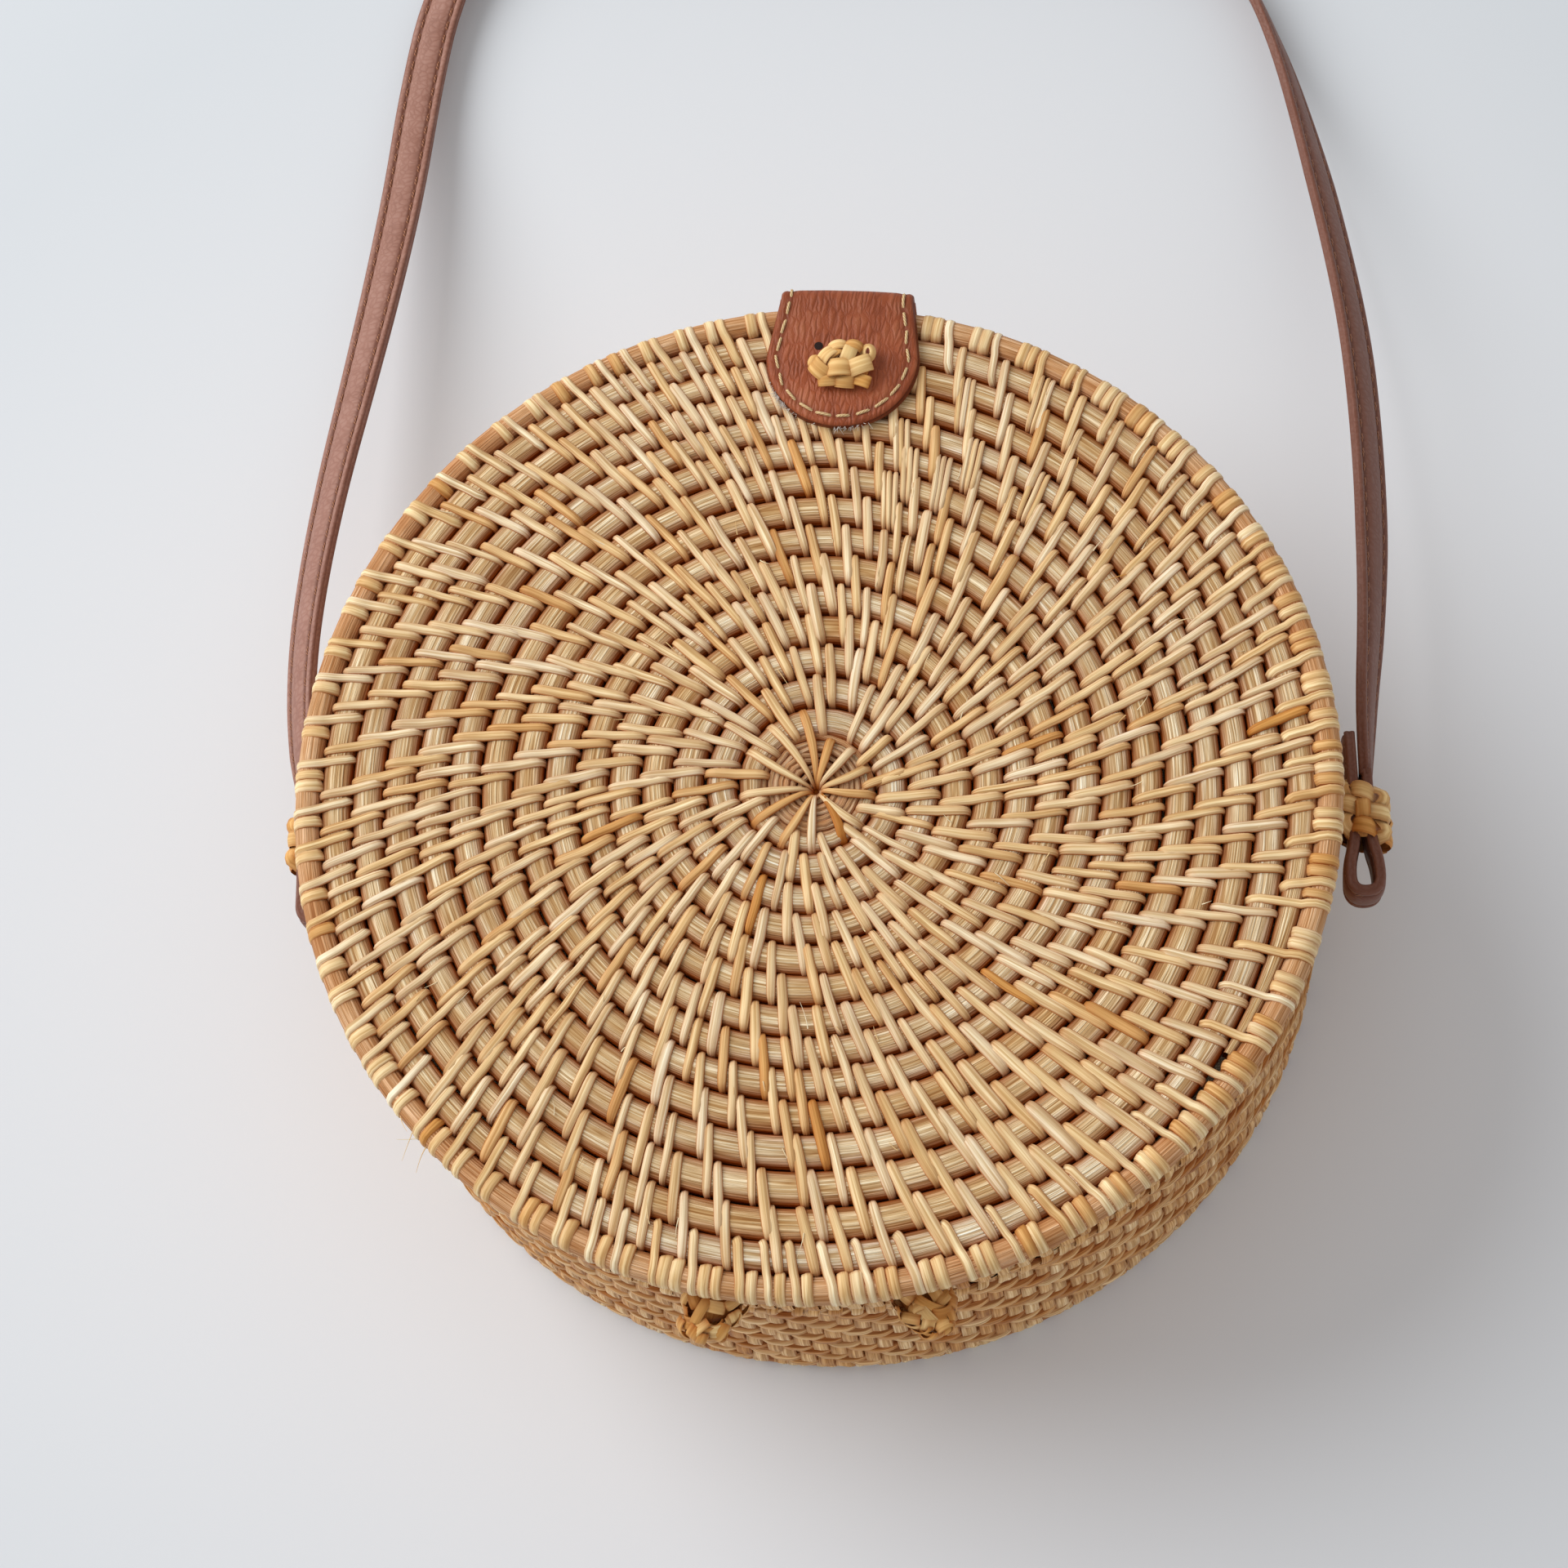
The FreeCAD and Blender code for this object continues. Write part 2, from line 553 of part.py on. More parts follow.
def turn_arcs():
    """Start, middle and end of each half turn of the coil: both legs wind in to one bight."""
    x, y = COIL_ENTRY.x, COIL_ENTRY.y
    inner = TURN_RADIUS - TURN_SPACING
    heart = (2 * TURN_RADIUS - 3 * TURN_SPACING - 2 * BIGHT_RADIUS) / 2
    turns = [(TURN_RADIUS, 1, 1), (inner, -1, -1), (BIGHT_RADIUS, 1, 1), (heart, 1, -1), (inner, -1, 1)]
    arcs = []
    for radius, along, up in turns:
        far_x = x + 2 * along * radius
        arcs.append([Vector(x, y, 0), Vector(x + along * radius, y + up * radius, 0), Vector(far_x, y, 0)])
        x = far_x
    lean = math.radians(45)
    middle = Vector(x + TURN_RADIUS * (1 - math.cos(lean)), y - TURN_RADIUS * math.sin(lean), 0)
    arcs.append([Vector(x, y, 0), middle, Vector(x + TURN_RADIUS, y - TURN_RADIUS, 0)])
    return arcs


def strap_coil():
    """Put-away length of the strap, coiled on edge."""
    edges = [Part.Arc(*ends).toShape() for ends in turn_arcs()]
    strip, length = standing_strip(edges, TIE_BAND, STRAP_WIDTH)
    gaps = [edges[i].distToShape(edges[j])[0] for i in range(len(edges)) for j in range(i + 2, len(edges))]
    print("strap_coil length", round(length, 1), "least gap to itself", round(min(gaps) - STRAP_THICKNESS, 2))
    return strip


def strap_tie():
    """Slim band that holds the coil's turns together."""
    wide = 2 * TURN_SPACING + STRAP_THICKNESS
    centre = COIL_ENTRY + Vector(TURN_SPACING, 0, TABLE_Z)
    hole_size = Vector(wide + TIE_BAND, TIE_BAND_WIDTH, STRAP_WIDTH)
    size = hole_size + Vector(2 * TIE_BAND, 0, 2 * TIE_BAND)
    band = Part.makeBox(*size, centre - size / 2)
    return band.cut(Part.makeBox(*hole_size, centre - hole_size / 2))


def stood_flat(shape):
    """Shape cut flat where it stands on the table."""
    size = 4 * RIM_OUTER_RADIUS
    return shape.cut(Part.makeBox(size, size, size, Vector(-size / 2, -size / 2, -size)))


def build_lid():
    """Lid: coiled disc, rim, wall, lining, tab and hinge knots."""
    up = Vector(0, 0, 1)
    rim_rod = rim(LID_WALL_TOP, up)
    coil_base = BAG_DEPTH - ROD_HEIGHT
    rooms = [tie_ring(side, RUNNING_GAP) for side in (-1, 1)]
    hoop_top = LID_MOUTH + HOOP_HEIGHT
    return {
        "lid_coil": coil(coil_base, up, rim_rod),
        "lid_rim": rim_rod,
        "lid_wall": twill_wall(LID_MOUTH, LID_WALL_TOP).cut(rooms),
        "lid_mouth_hoop": mouth_hoop(LID_MOUTH),
        "lid_lining_disc": lining_disc(coil_base - LINING_THICKNESS),
        "lid_lining_band": ring(LINING_INNER_RADIUS, WALL_INNER_RADIUS, hoop_top, LID_WALL_TOP).cut(rooms),
        "tab_top": tab_top(),
        "tab_fold": tab_fold(),
        "tab_knot": tab_knot(),
        "hinge_knot_left": hinge_knot(-1),
        "hinge_knot_right": hinge_knot(1),
    }


def build_flap():
    """Free end of the tab with its snap."""
    cap = snap_cap()
    return {"tab_flap": tab_flap(cap), "snap_cap": cap, "snap_socket": snap_socket()}


def build_body():
    """Body: back disc, rim, wall, lining, stud, hinge rings and strap ends."""
    down = Vector(0, 0, -1)
    rim_rod = rim(BODY_WALL_BOTTOM, down)
    coil_base = ROD_HEIGHT - STANDING_FLAT
    ties = {side: tie_ring(side) for side in (-1, 1)}
    ends = {side: strap_end(side) for side in (-1, 1)}
    wraps = {side: strap_wrap(side, ends[side]) for side in (-1, 1)}
    stud = snap_stud()
    through = [ties[-1], ties[1], wraps[-1], wraps[1], stud]
    return {
        "back_coil": stood_flat(coil(coil_base, down, rim_rod)),
        "back_rim": stood_flat(rim_rod),
        "body_wall": twill_wall(BODY_WALL_BOTTOM, BODY_MOUTH).cut(through),
        "body_mouth_hoop": mouth_hoop(BODY_MOUTH - HOOP_HEIGHT),
        "body_lining_disc": lining_disc(coil_base),
        "body_lining_band": flared_ring(LINING_INNER_RADIUS, WALL_INNER_RADIUS).cut(through),
        "snap_stud": stud,
        "hinge_tie_left": ties[-1],
        "hinge_tie_right": ties[1],
        "strap_end_left": ends[-1],
        "strap_end_right": ends[1],
        "strap_knot_left": wraps[-1],
        "strap_knot_right": wraps[1],
    }


def shared_route(shares):
    """Plan points of the strap from shares of the rim's radius."""
    return [(x * RIM_OUTER_RADIUS, y * RIM_OUTER_RADIUS) for x, y in shares]


def build_strap():
    """Free strap: two legs and the coil between them."""
    outer = STRAP_X + LAYER_X
    coil_end = turn_arcs()[-1][-1]
    left = [(-outer, STRAP_START_Y)] + shared_route(LEFT_SHARES)
    left += [(COIL_ENTRY.x, COIL_ENTRY.y - TURN_RADIUS / 2), (COIL_ENTRY.x, COIL_ENTRY.y)]
    right = [(outer, STRAP_START_Y)] + shared_route(RIGHT_SHARES)
    right += [(coil_end.x + x, coil_end.y + y) for x, y in RIGHT_APPROACH + [(0, 0)]]
    return {
        "strap_left": strap_leg("strap_left", left),
        "strap_right": strap_leg("strap_right", right),
        "strap_coil": strap_coil(),
        "strap_tie": strap_tie(),
    }


os.makedirs("parts", exist_ok=True)
print("coil gap between turns", round(coil_gap(), 3))
pieces = {**build_lid(), **build_flap(), **build_body(), **build_strap()}
for name, shape in pieces.items():
    shape.exportStep(os.path.join("parts", name + ".step"))
    print(name, "solids", len(shape.Solids), "valid", shape.isValid(), "volume", round(shape.Volume, 1))
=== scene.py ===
import logging
import math
from dataclasses import dataclass
from enum import Enum

import bpy
import numpy as np
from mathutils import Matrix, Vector


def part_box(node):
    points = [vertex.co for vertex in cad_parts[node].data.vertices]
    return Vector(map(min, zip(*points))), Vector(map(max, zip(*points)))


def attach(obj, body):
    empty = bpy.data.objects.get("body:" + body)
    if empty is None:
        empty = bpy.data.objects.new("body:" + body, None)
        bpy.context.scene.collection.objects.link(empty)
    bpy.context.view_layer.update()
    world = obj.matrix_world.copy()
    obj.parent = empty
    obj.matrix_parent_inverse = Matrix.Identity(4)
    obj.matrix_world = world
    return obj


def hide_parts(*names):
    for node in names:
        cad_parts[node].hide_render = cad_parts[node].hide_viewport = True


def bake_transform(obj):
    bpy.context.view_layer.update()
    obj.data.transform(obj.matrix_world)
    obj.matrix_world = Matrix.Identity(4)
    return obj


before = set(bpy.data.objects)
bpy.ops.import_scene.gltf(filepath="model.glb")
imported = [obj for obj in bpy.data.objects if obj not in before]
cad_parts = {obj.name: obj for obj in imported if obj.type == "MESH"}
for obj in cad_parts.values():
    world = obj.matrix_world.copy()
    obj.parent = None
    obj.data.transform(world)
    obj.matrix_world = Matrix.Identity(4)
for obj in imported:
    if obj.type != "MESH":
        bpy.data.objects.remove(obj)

LOG = logging.getLogger("circle_bag")
# Lengths are in millimetres and angles in radians, unless a note says otherwise
MM = 0.001
TURN = 2 * math.pi
UP = np.array([0.0, 0.0, 1.0])
TAB_TURN = math.radians(-4.4)
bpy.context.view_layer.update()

Array = np.ndarray
Generator = np.random.Generator
Material = bpy.types.Material
Piece = bpy.types.Object
Socket = bpy.types.NodeSocket
Pair = tuple[float, float]
Point = tuple[float, float, float]
seeded = np.random.default_rng


class Body(str, Enum):
    """Moving bodies of the bag."""

    BODY = "body"
    LID = "lid"
    FLAP = "flap"


class Slot(str, Enum):
    """Material slots of the record."""

    COIL = "coil_rattan"
    WALL = "wall_rattan"
    KNOT = "knot_rattan"
    TAB = "tab_leather"
    STRAP = "strap_leather"
    LINING = "lining_cotton"


class DiscFace(Enum):
    """Which way a coiled disc looks."""

    FRONT = 1
    BACK = -1


def srgb(red: int, green: int, blue: int) -> tuple[float, float, float, float]:
    """Linear colour, with an alpha of 1, of an 8-bit screen colour."""
    shares = [value / 255 for value in (red, green, blue)]
    return (*(c / 12.92 if c < 0.0405 else ((c + 0.055) / 1.055) ** 2.4 for c in shares), 1.0)


class NodeDesk:
    """Small helper that lays out one procedural material."""

    def __init__(self, name: str) -> None:
        """Starts a material with a Principled shader.

        Args:
            name: Name of the material.
        """
        self.material = bpy.data.materials.new(name)
        self.material.use_nodes = True
        self.nodes = self.material.node_tree.nodes
        self.links = self.material.node_tree.links
        self.shader = self.nodes["Principled BSDF"]

    def feed(self, target: Socket, value: Socket | float | tuple) -> None:
        """Joins an input to another node's output, or gives it a plain value.

        Args:
            target: The input.
            value: Output or plain value.
        """
        if isinstance(value, Socket):
            self.links.new(value, target)
        else:
            target.default_value = value

    def node(self, kind: str, *inputs: Socket | float,
             **settings: Socket | float | tuple | str) -> bpy.types.Node:
        """Adds a node, sets its options and feeds its inputs.

        Args:
            kind: Node type without the ShaderNode prefix.
            inputs: First inputs, in order.
            settings: Options by their small names, inputs by their capital names with underscores for spaces.

        Returns:
            The new node.
        """
        made = self.nodes.new("ShaderNode" + kind)
        for name, value in settings.items():
            if name[0].isupper():
                self.feed(made.inputs[name.replace("_", " ")], value)
            else:
                setattr(made, name, value)
        for target, value in zip(made.inputs, inputs):
            self.feed(target, value)
        return made

    def mapped(self, output: str, scale: Point) -> Socket:
        """Texture coordinates, UV or Object, stretched along each axis."""
        place = self.node("TexCoord").outputs[output]
        return self.node("Mapping", Vector=place, Scale=scale).outputs["Vector"]

    def noise(self, vector: Socket, scale: float, detail: float) -> Socket:
        """Noise on a vector, about 0.5 in the middle."""
        return self.node("TexNoise", Vector=vector, Scale=scale, Detail=detail).outputs["Fac"]

    def grain(self, across: float, along: float, detail: float) -> Socket:
        """Noise on the piece's own map, stretched across and along it."""
        return self.noise(self.mapped("UV", (across, along, 1.0)), 1.0, detail)

    def wave(self, direction: str, vector: Socket, scale: float, distortion: float) -> Socket:
        """Waves along X, Y or DIAGONAL of a vector, as of threads."""
        settings = {"Vector": vector, "Scale": scale, "Distortion": distortion}
        return self.node("TexWave", bands_direction=direction, **settings).outputs["Fac"]

    def ramp(self, value: Socket, *stops: tuple[float, tuple]) -> Socket:
        """Colour ramp.

        Args:
            value: Position along the ramp.
            stops: Places and colours.

        Returns:
            The colour.
        """
        made = self.node("ValToRGB", Fac=value)
        elements = made.color_ramp.elements
        while len(elements) < len(stops):
            elements.new(0.5)
        for element, (place, colour) in zip(elements, stops):
            element.position = place
            element.color = colour
        return made.outputs["Color"]

    def levels(self, value: Socket, low: float, high: float, dark: float, light: float) -> Socket:
        """Maps low to high of a pattern to dark to light, clamped."""
        made = self.node("MapRange", Value=value, From_Min=low, From_Max=high, To_Min=dark, To_Max=light)
        return made.outputs["Result"]

    def sums(self, first: Socket, second: Socket | float, operation: str = "MULTIPLY") -> Socket:
        """Result of a Math operation on two values."""
        return self.node("Math", first, second, operation=operation).outputs[0]

    def mixed(self, share: Socket | float, first: Socket, second: Socket | tuple,
              blend: str = "MIX") -> Socket:
        """Mixes two colours.

        Args:
            share: Share of the second colour.
            first: First colour.
            second: Second colour.
            blend: Blend mode.

        Returns:
            The mixed colour.
        """
        made = self.node("Mix", data_type="RGBA", blend_type=blend)
        for place, value in (("Factor", share), (6, first), (7, second)):
            self.feed(made.inputs[place], value)
        return made.outputs[2]

    def attribute(self, name: str) -> Socket:
        """Value of a mesh attribute."""
        return self.node("Attribute", attribute_name=name).outputs["Fac"]

    def bump(self, height: Socket, strength: float, depth: float) -> None:
        """Raises the surface by a pattern, so many metres high."""
        made = self.node("Bump", Height=height, Strength=strength, Distance=depth)
        self.feed(self.shader.inputs["Normal"], made.outputs["Normal"])

    def finished(self, colour: Socket, roughness: float, specular: float, metallic: float = 0.0) -> Material:
        """Feeds the base colour and sets the plain gloss values.

        Args:
            colour: Base colour.
            roughness: Roughness all over.
            specular: Specular level.
            metallic: Share of metal.

        Returns:
            The finished material.
        """
        names = ("Base Color", "Roughness", "Specular IOR Level", "Metallic")
        for name, value in zip(names, (colour, roughness, specular, metallic)):
            self.feed(self.shader.inputs[name], value)
        return self.material


@dataclass(frozen=True)
class RattanFinish:
    """Split rattan: tinted strip by strip, with fine fibres along its length, and a warm painted shade mixed
    in from a mesh attribute.
    """

    name: str
    stops: tuple
    fibre_dark: float = 0.7
    fibre_pitch: float = 2.6
    fibre_run: float = 0.06
    seam_dark: float = 1.0
    seams: float = 0.0
    roughness: float = 0.46
    bump_depth: float = 0.00007
    # Colour of the painted shade: grooves and shaded flanks are mixed towards it
    groove: tuple = srgb(180, 92, 16)
    streak: float = 0.92

    def material(self) -> Material:
        """Lays out the finish on the strip's own map, in millimetres.

        Returns:
            The finished material.
        """
        desk = NodeDesk(self.name)
        # Base colour: the strip's tint, mixed towards the painted shade colour where the mesh marks painted
        # shade
        base = desk.mixed(desk.attribute("painted_shade"), desk.ramp(desk.attribute("tint"), *self.stops), self.groove)
        fibre = desk.grain(self.fibre_pitch, self.fibre_run, 5.0)
        fine = desk.grain(2.4 * self.fibre_pitch, 1.5 * self.fibre_run, 2.0)
        cloud = desk.levels(desk.grain(0.25, 0.09, 2.0), 0.3, 0.7, 0.86, 1.1)
        shade = desk.sums(desk.levels(fibre, 0.38, 0.6, self.fibre_dark, 1.08), cloud)
        shade = desk.sums(shade, desk.levels(fine, 0.36, 0.58, self.streak, 1.04))
        height = desk.levels(fibre, 0.36, 0.62, 0.0, 1.0)
        if self.seams > 0:
            split = desk.grain(self.seams, 0.018, 1.0)
            ridge = desk.sums(desk.sums(split, 0.5, "SUBTRACT"), 0.0, "ABSOLUTE")
            shade = desk.sums(shade, desk.levels(ridge, 0.0, 0.05, self.seam_dark, 1.0))
            height = desk.sums(height, desk.levels(ridge, 0.0, 0.06, 0.0, 1.0))
        red, green, blue = (desk.sums(shade, power, "POWER") for power in (1.0, 1.5, 2.2))
        full = desk.node("CombineColor", Red=red, Green=green, Blue=blue)
        desk.bump(height, 0.7, self.bump_depth)
        return desk.finished(desk.mixed(1.0, base, full.outputs["Color"], "MULTIPLY"), self.roughness, 0.14)


STRIP_STOPS = (
    (0.0, srgb(255, 247, 222)), (0.45, srgb(252, 226, 174)), (0.8, srgb(224, 166, 90)),
    (1.0, srgb(188, 108, 44)),
)
ROD_STOPS = ((0.0, srgb(255, 246, 222)), (0.5, srgb(253, 232, 192)), (1.0, srgb(240, 202, 144)))
RIM_STOPS = ((0.0, srgb(248, 214, 176)), (0.5, srgb(236, 190, 146)), (1.0, srgb(212, 150, 102)))
WALL_STOPS = ((0.0, srgb(254, 222, 172)), (0.5, srgb(240, 192, 130)), (1.0, srgb(204, 140, 74)))
KNOT_STOPS = ((0.0, srgb(252, 222, 162)), (0.5, srgb(228, 172, 98)), (1.0, srgb(178, 108, 52)))


@dataclass(frozen=True)
class LeatherFinish:
    """Tumbled leather with long pebbles: painted shade in the creases and a painted highlight on the raised
    parts, over a random mottle.
    """

    name: str
    # Colours: the darkest, also the painted shade colour; the body; the lightest, where a pale mottle meets
    # the painted highlight on raised pebbles
    painted_shade: tuple
    body: tuple
    pale_mottle_and_highlight: tuple
    pebble: Point = (0.95, 0.27, 1.0)
    bump_depth: float = 0.0003
    roughness: float = 0.46
    mottle: float = 0.4

    def material(self) -> Material:
        """Lays out the finish on the piece's own map, in millimetres.

        Returns:
            The finished material.
        """
        desk = NodeDesk(self.name)
        bend = desk.grain(0.35, 0.35, 3.0)
        offset = desk.node("CombineXYZ", bend, bend).outputs["Vector"]
        shift = desk.node("VectorMath", desk.mapped("UV", self.pebble), offset, operation="ADD")
        pebbles = desk.node("TexVoronoi", shift.outputs["Vector"], feature="DISTANCE_TO_EDGE", Scale=1.0)
        crease = pebbles.outputs["Distance"]
        cloud = desk.grain(0.12, 0.12, 4.0)
        spread = desk.levels(cloud, 0.3, 0.7, 0.46 - self.mottle / 2, 0.46 + self.mottle / 2)
        # Tone: random mottle, darker in the pebbles' creases as painted shade and lighter on their raised
        # parts as painted highlight
        tone = desk.sums(spread, desk.levels(crease, 0.0, 0.24, 0.74, 1.08))
        base = desk.ramp(tone, (0.0, self.painted_shade), (0.4, self.body), (0.95, self.pale_mottle_and_highlight))
        fine = desk.levels(desk.grain(3.2, 3.2, 3.0), 0.3, 0.7, 0.0, 0.2)
        desk.bump(desk.sums(desk.levels(crease, 0.0, 0.34, 0.0, 1.0), fine, "ADD"), 0.6, self.bump_depth)
        # Mixed towards the darkest colour where the mesh marks painted shade
        return desk.finished(desk.mixed(desk.attribute("painted_shade"), base, self.painted_shade), self.roughness, 0.26)


@dataclass(frozen=True)
class ThreadFinish:
    """Waxed sewing thread with a twist."""

    name: str
    dark: tuple
    light: tuple

    def material(self) -> Material:
        """Lays out the twist along the thread.

        Returns:
            The finished material.
        """
        desk = NodeDesk(self.name)
        twist = desk.wave("DIAGONAL", desk.mapped("UV", (1.0, 0.9, 1.0)), 1.0, 0.4)
        desk.bump(twist, 0.5, 0.0001)
        return desk.finished(desk.ramp(twist, (0.2, self.dark), (0.7, self.light)), 0.55, 0.3)


@dataclass(frozen=True)
class CottonFinish:
    """Plain-weave cotton lining."""

    name: str
    dark: tuple
    light: tuple

    def material(self) -> Material:
        """Lays out warp and weft on the cloth's map, in millimetres.

        Returns:
            The finished material.
        """
        desk = NodeDesk(self.name)
        place = desk.mapped("UV", (1.0, 1.0, 1.0))
        weave = desk.sums(*(desk.wave(direction, place, 0.62, 0.5) for direction in ("X", "Y")))
        cloud = desk.grain(0.05, 0.05, 4.0)
        tone = desk.sums(desk.levels(weave, 0.0, 1.0, 0.25, 1.0), desk.levels(cloud, 0.3, 0.7, 0.7, 1.1))
        desk.bump(weave, 0.4, 0.00015)
        return desk.finished(desk.ramp(tone, (0.1, self.dark), (0.8, self.light)), 0.85, 0.2)


@dataclass(frozen=True)
class BrassFinish:
    """Antique brass of the snap, brushed and a little tarnished."""

    name: str

    def material(self) -> Material:
        """Lays out the metal on object coordinates.

        Returns:
            The finished material.
        """
        desk = NodeDesk(self.name)
        tarnish = desk.noise(desk.mapped("Object", (1.0, 1.0, 1.0)), 420.0, 5.0)
        desk.bump(desk.noise(desk.mapped("Object", (900.0, 900.0, 4000.0)), 1.0, 2.0), 0.12, 0.0001)
        brass = desk.ramp(tarnish, (0.3, srgb(128, 92, 48)), (0.6, srgb(192, 150, 84)))
        return desk.finished(brass, 0.34, 0.5, 1.0)


@dataclass(frozen=True)
class PlainRodFinish:
    """Bare rattan rod or ring, grained on object coordinates."""

    name: str

    def material(self) -> Material:
        """Lays out long grain round the bag's axis.

        Returns:
            The finished material.
        """
        desk = NodeDesk(self.name)
        grain = desk.noise(desk.mapped("Object", (60.0, 60.0, 1500.0)), 1.0, 4.0)
        fine = desk.noise(desk.mapped("Object", (900.0, 900.0, 900.0)), 1.0, 3.0)
        tone = desk.sums(grain, desk.levels(fine, 0.2, 0.8, 0.8, 1.15))
        desk.bump(tone, 0.4, 0.0002)
        rattan = desk.ramp(tone, (0.25, srgb(168, 122, 78)), (0.55, srgb(212, 172, 118)))
        return desk.finished(rattan, 0.5, 0.4)


def new_object(name: str, data: bpy.types.ID) -> Piece:
    """Puts a mesh, curve, lamp or camera into the scene.

    Args:
        name: Name of the object.
        data: What it shows.

    Returns:
        The object.
    """
    made = bpy.data.objects.new(name, data)
    bpy.context.scene.collection.objects.link(made)
    return made


class PatchMesh:
    """Collects grids of points in millimetres and makes one mesh piece of them."""

    def __init__(self, name: str) -> None:
        """Starts an empty piece.

        Args:
            name: Name of the piece.
        """
        self.name = name
        self.points: list[Array] = []
        self.corners: list[Array] = []
        self.maps: list[Array] = []
        self.tints: list[Array] = []
        self.painted_shades: list[Array] = []
        self.count = 0

    def add(self, grids: Array, maps: Array, tints: Array | float, closed: bool = False,
            painted_shades: Array | float = 0.0) -> None:
        """Adds a stack of grids.

        Args:
            grids: Points, shaped strips x along x across x 3.
            maps: Map in millimetres for along x across, one column more where closed.
            tints: Tint of each strip, or of each strip's points along it.
            closed: Joins the last point across to the first.
            painted_shades: Painted shade at each point, 0 to 1, which mixes its colour towards the shade
                colour.
        """
        strips, along, across = grids.shape[:3]
        tint = np.asarray(tints, float)
        if tint.ndim == 0:
            tint = np.full(strips, float(tint))
        if tint.ndim == 1:
            tint = np.repeat(tint[:, None], along, axis=1)
        columns = np.arange(across if closed else across - 1)
        rows, columns = np.meshgrid(np.arange(along - 1), columns, indexing="ij")
        ahead = (columns + 1) % across
        quads = np.stack([rows * across + columns, rows * across + ahead,
                          (rows + 1) * across + ahead, (rows + 1) * across + columns], axis=-1).reshape(-1, 4)
        maps = np.broadcast_to(maps, (strips,) + maps.shape[-3:]) if maps.ndim < 4 else maps
        cells = np.stack([maps[:, rows, columns], maps[:, rows, columns + 1],
                          maps[:, rows + 1, columns + 1], maps[:, rows + 1, columns]], axis=3)
        first = self.count + np.arange(strips)[:, None, None] * along * across
        self.points.append(grids.reshape(-1, 3))
        self.corners.append((quads[None] + first).reshape(-1, 4))
        self.maps.append(cells.reshape(-1, 2))
        self.tints.append(np.repeat(tint[:, :, None], across, axis=2).reshape(-1))
        self.painted_shades.append(np.broadcast_to(painted_shades, (strips, along, across)).reshape(-1))
        self.count += strips * along * across

    def build(self, material: Material) -> Piece:
        """Makes the mesh object, smooth shaded.

        Args:
            material: Its material.

        Returns:
            The new object, at the origin.
        """
        points = np.concatenate(self.points) * MM
        corners = np.concatenate(self.corners)
        mesh = bpy.data.meshes.new(self.name)
        mesh.vertices.add(len(points))
        mesh.vertices.foreach_set("co", points.astype(np.float32).ravel())
        mesh.loops.add(corners.size)
        mesh.loops.foreach_set("vertex_index", corners.astype(np.int32).ravel())
        mesh.polygons.add(len(corners))
        mesh.polygons.foreach_set("loop_start", np.arange(0, corners.size, 4, dtype=np.int32))
        mesh.update(calc_edges=True)
        layer = mesh.uv_layers.new(name="strand")
        layer.data.foreach_set("uv", np.concatenate(self.maps).astype(np.float32).ravel())
        # tint is the strip's own colour; the second attribute is shade painted into the colour, 0 to 1
        for name, values in (("tint", self.tints), ("painted_shade", self.painted_shades)):
            layer = mesh.attributes.new(name, "FLOAT", "POINT")
            layer.data.foreach_set("value", np.clip(np.concatenate(values), 0, 1).astype(np.float32))
        mesh.polygons.foreach_set("use_smooth", np.ones(len(corners), dtype=bool))
        mesh.materials.append(material)
        return new_object(self.name, mesh)


def settle(piece: Piece, body: Body, slot: Slot, *nodes: str) -> Piece:
    """Lets a piece ride on its body and hides the nodes that it stands for.

    Args:
        piece: The finished piece.
        body: Body that it moves with.
        slot: Not used.
        nodes: Nodes that it replaces.

    Returns:
        The piece.
    """
    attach(piece, body.value)
    if nodes:
        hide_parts(*nodes)
    LOG.info("%s: %d faces on %s", piece.name, len(piece.data.polygons), body.value)
    return piece


def unit(vectors: Array) -> Array:
    """Vectors at length one."""
    return vectors / np.maximum(np.linalg.norm(vectors, axis=-1, keepdims=True), 1e-9)


def joined(*parts: Array | float) -> Array:
    """Points, or places on a map, from their coordinates."""
    return np.stack(np.broadcast_arrays(*parts), -1)


def around(radius: Array | float, angle: Array, height: Array | float) -> Array:
    """Points or directions from distances from the bag's axis, angles and heights."""
    return joined(radius * np.cos(angle), radius * np.sin(angle), height)


def on_tab(points: Array) -> Array:
    """Turns points from the bag's middle plane to the tab's place on the rim.

    Args:
        points: Points or directions.

    Returns:
        The same, turned about the bag's axis.
    """
    cos_turn, sin_turn = math.cos(TAB_TURN), math.sin(TAB_TURN)
    x, y, z = points[..., 0], points[..., 1], points[..., 2]
    return np.stack([cos_turn * x - sin_turn * y, sin_turn * x + cos_turn * y, z], -1)


def walked(line: Array) -> Array:
    """Distance walked along a line, at each of its points."""
    return np.concatenate([[0], np.cumsum(np.linalg.norm(np.diff(line, axis=0), axis=1))])


def drifting(rng: Generator, count: int, span: int) -> Array:
    """Random drift, each value the mean of a span of draws."""
    return np.convolve(rng.normal(0, 1, count + span - 1), np.ones(span) / span, "valid")


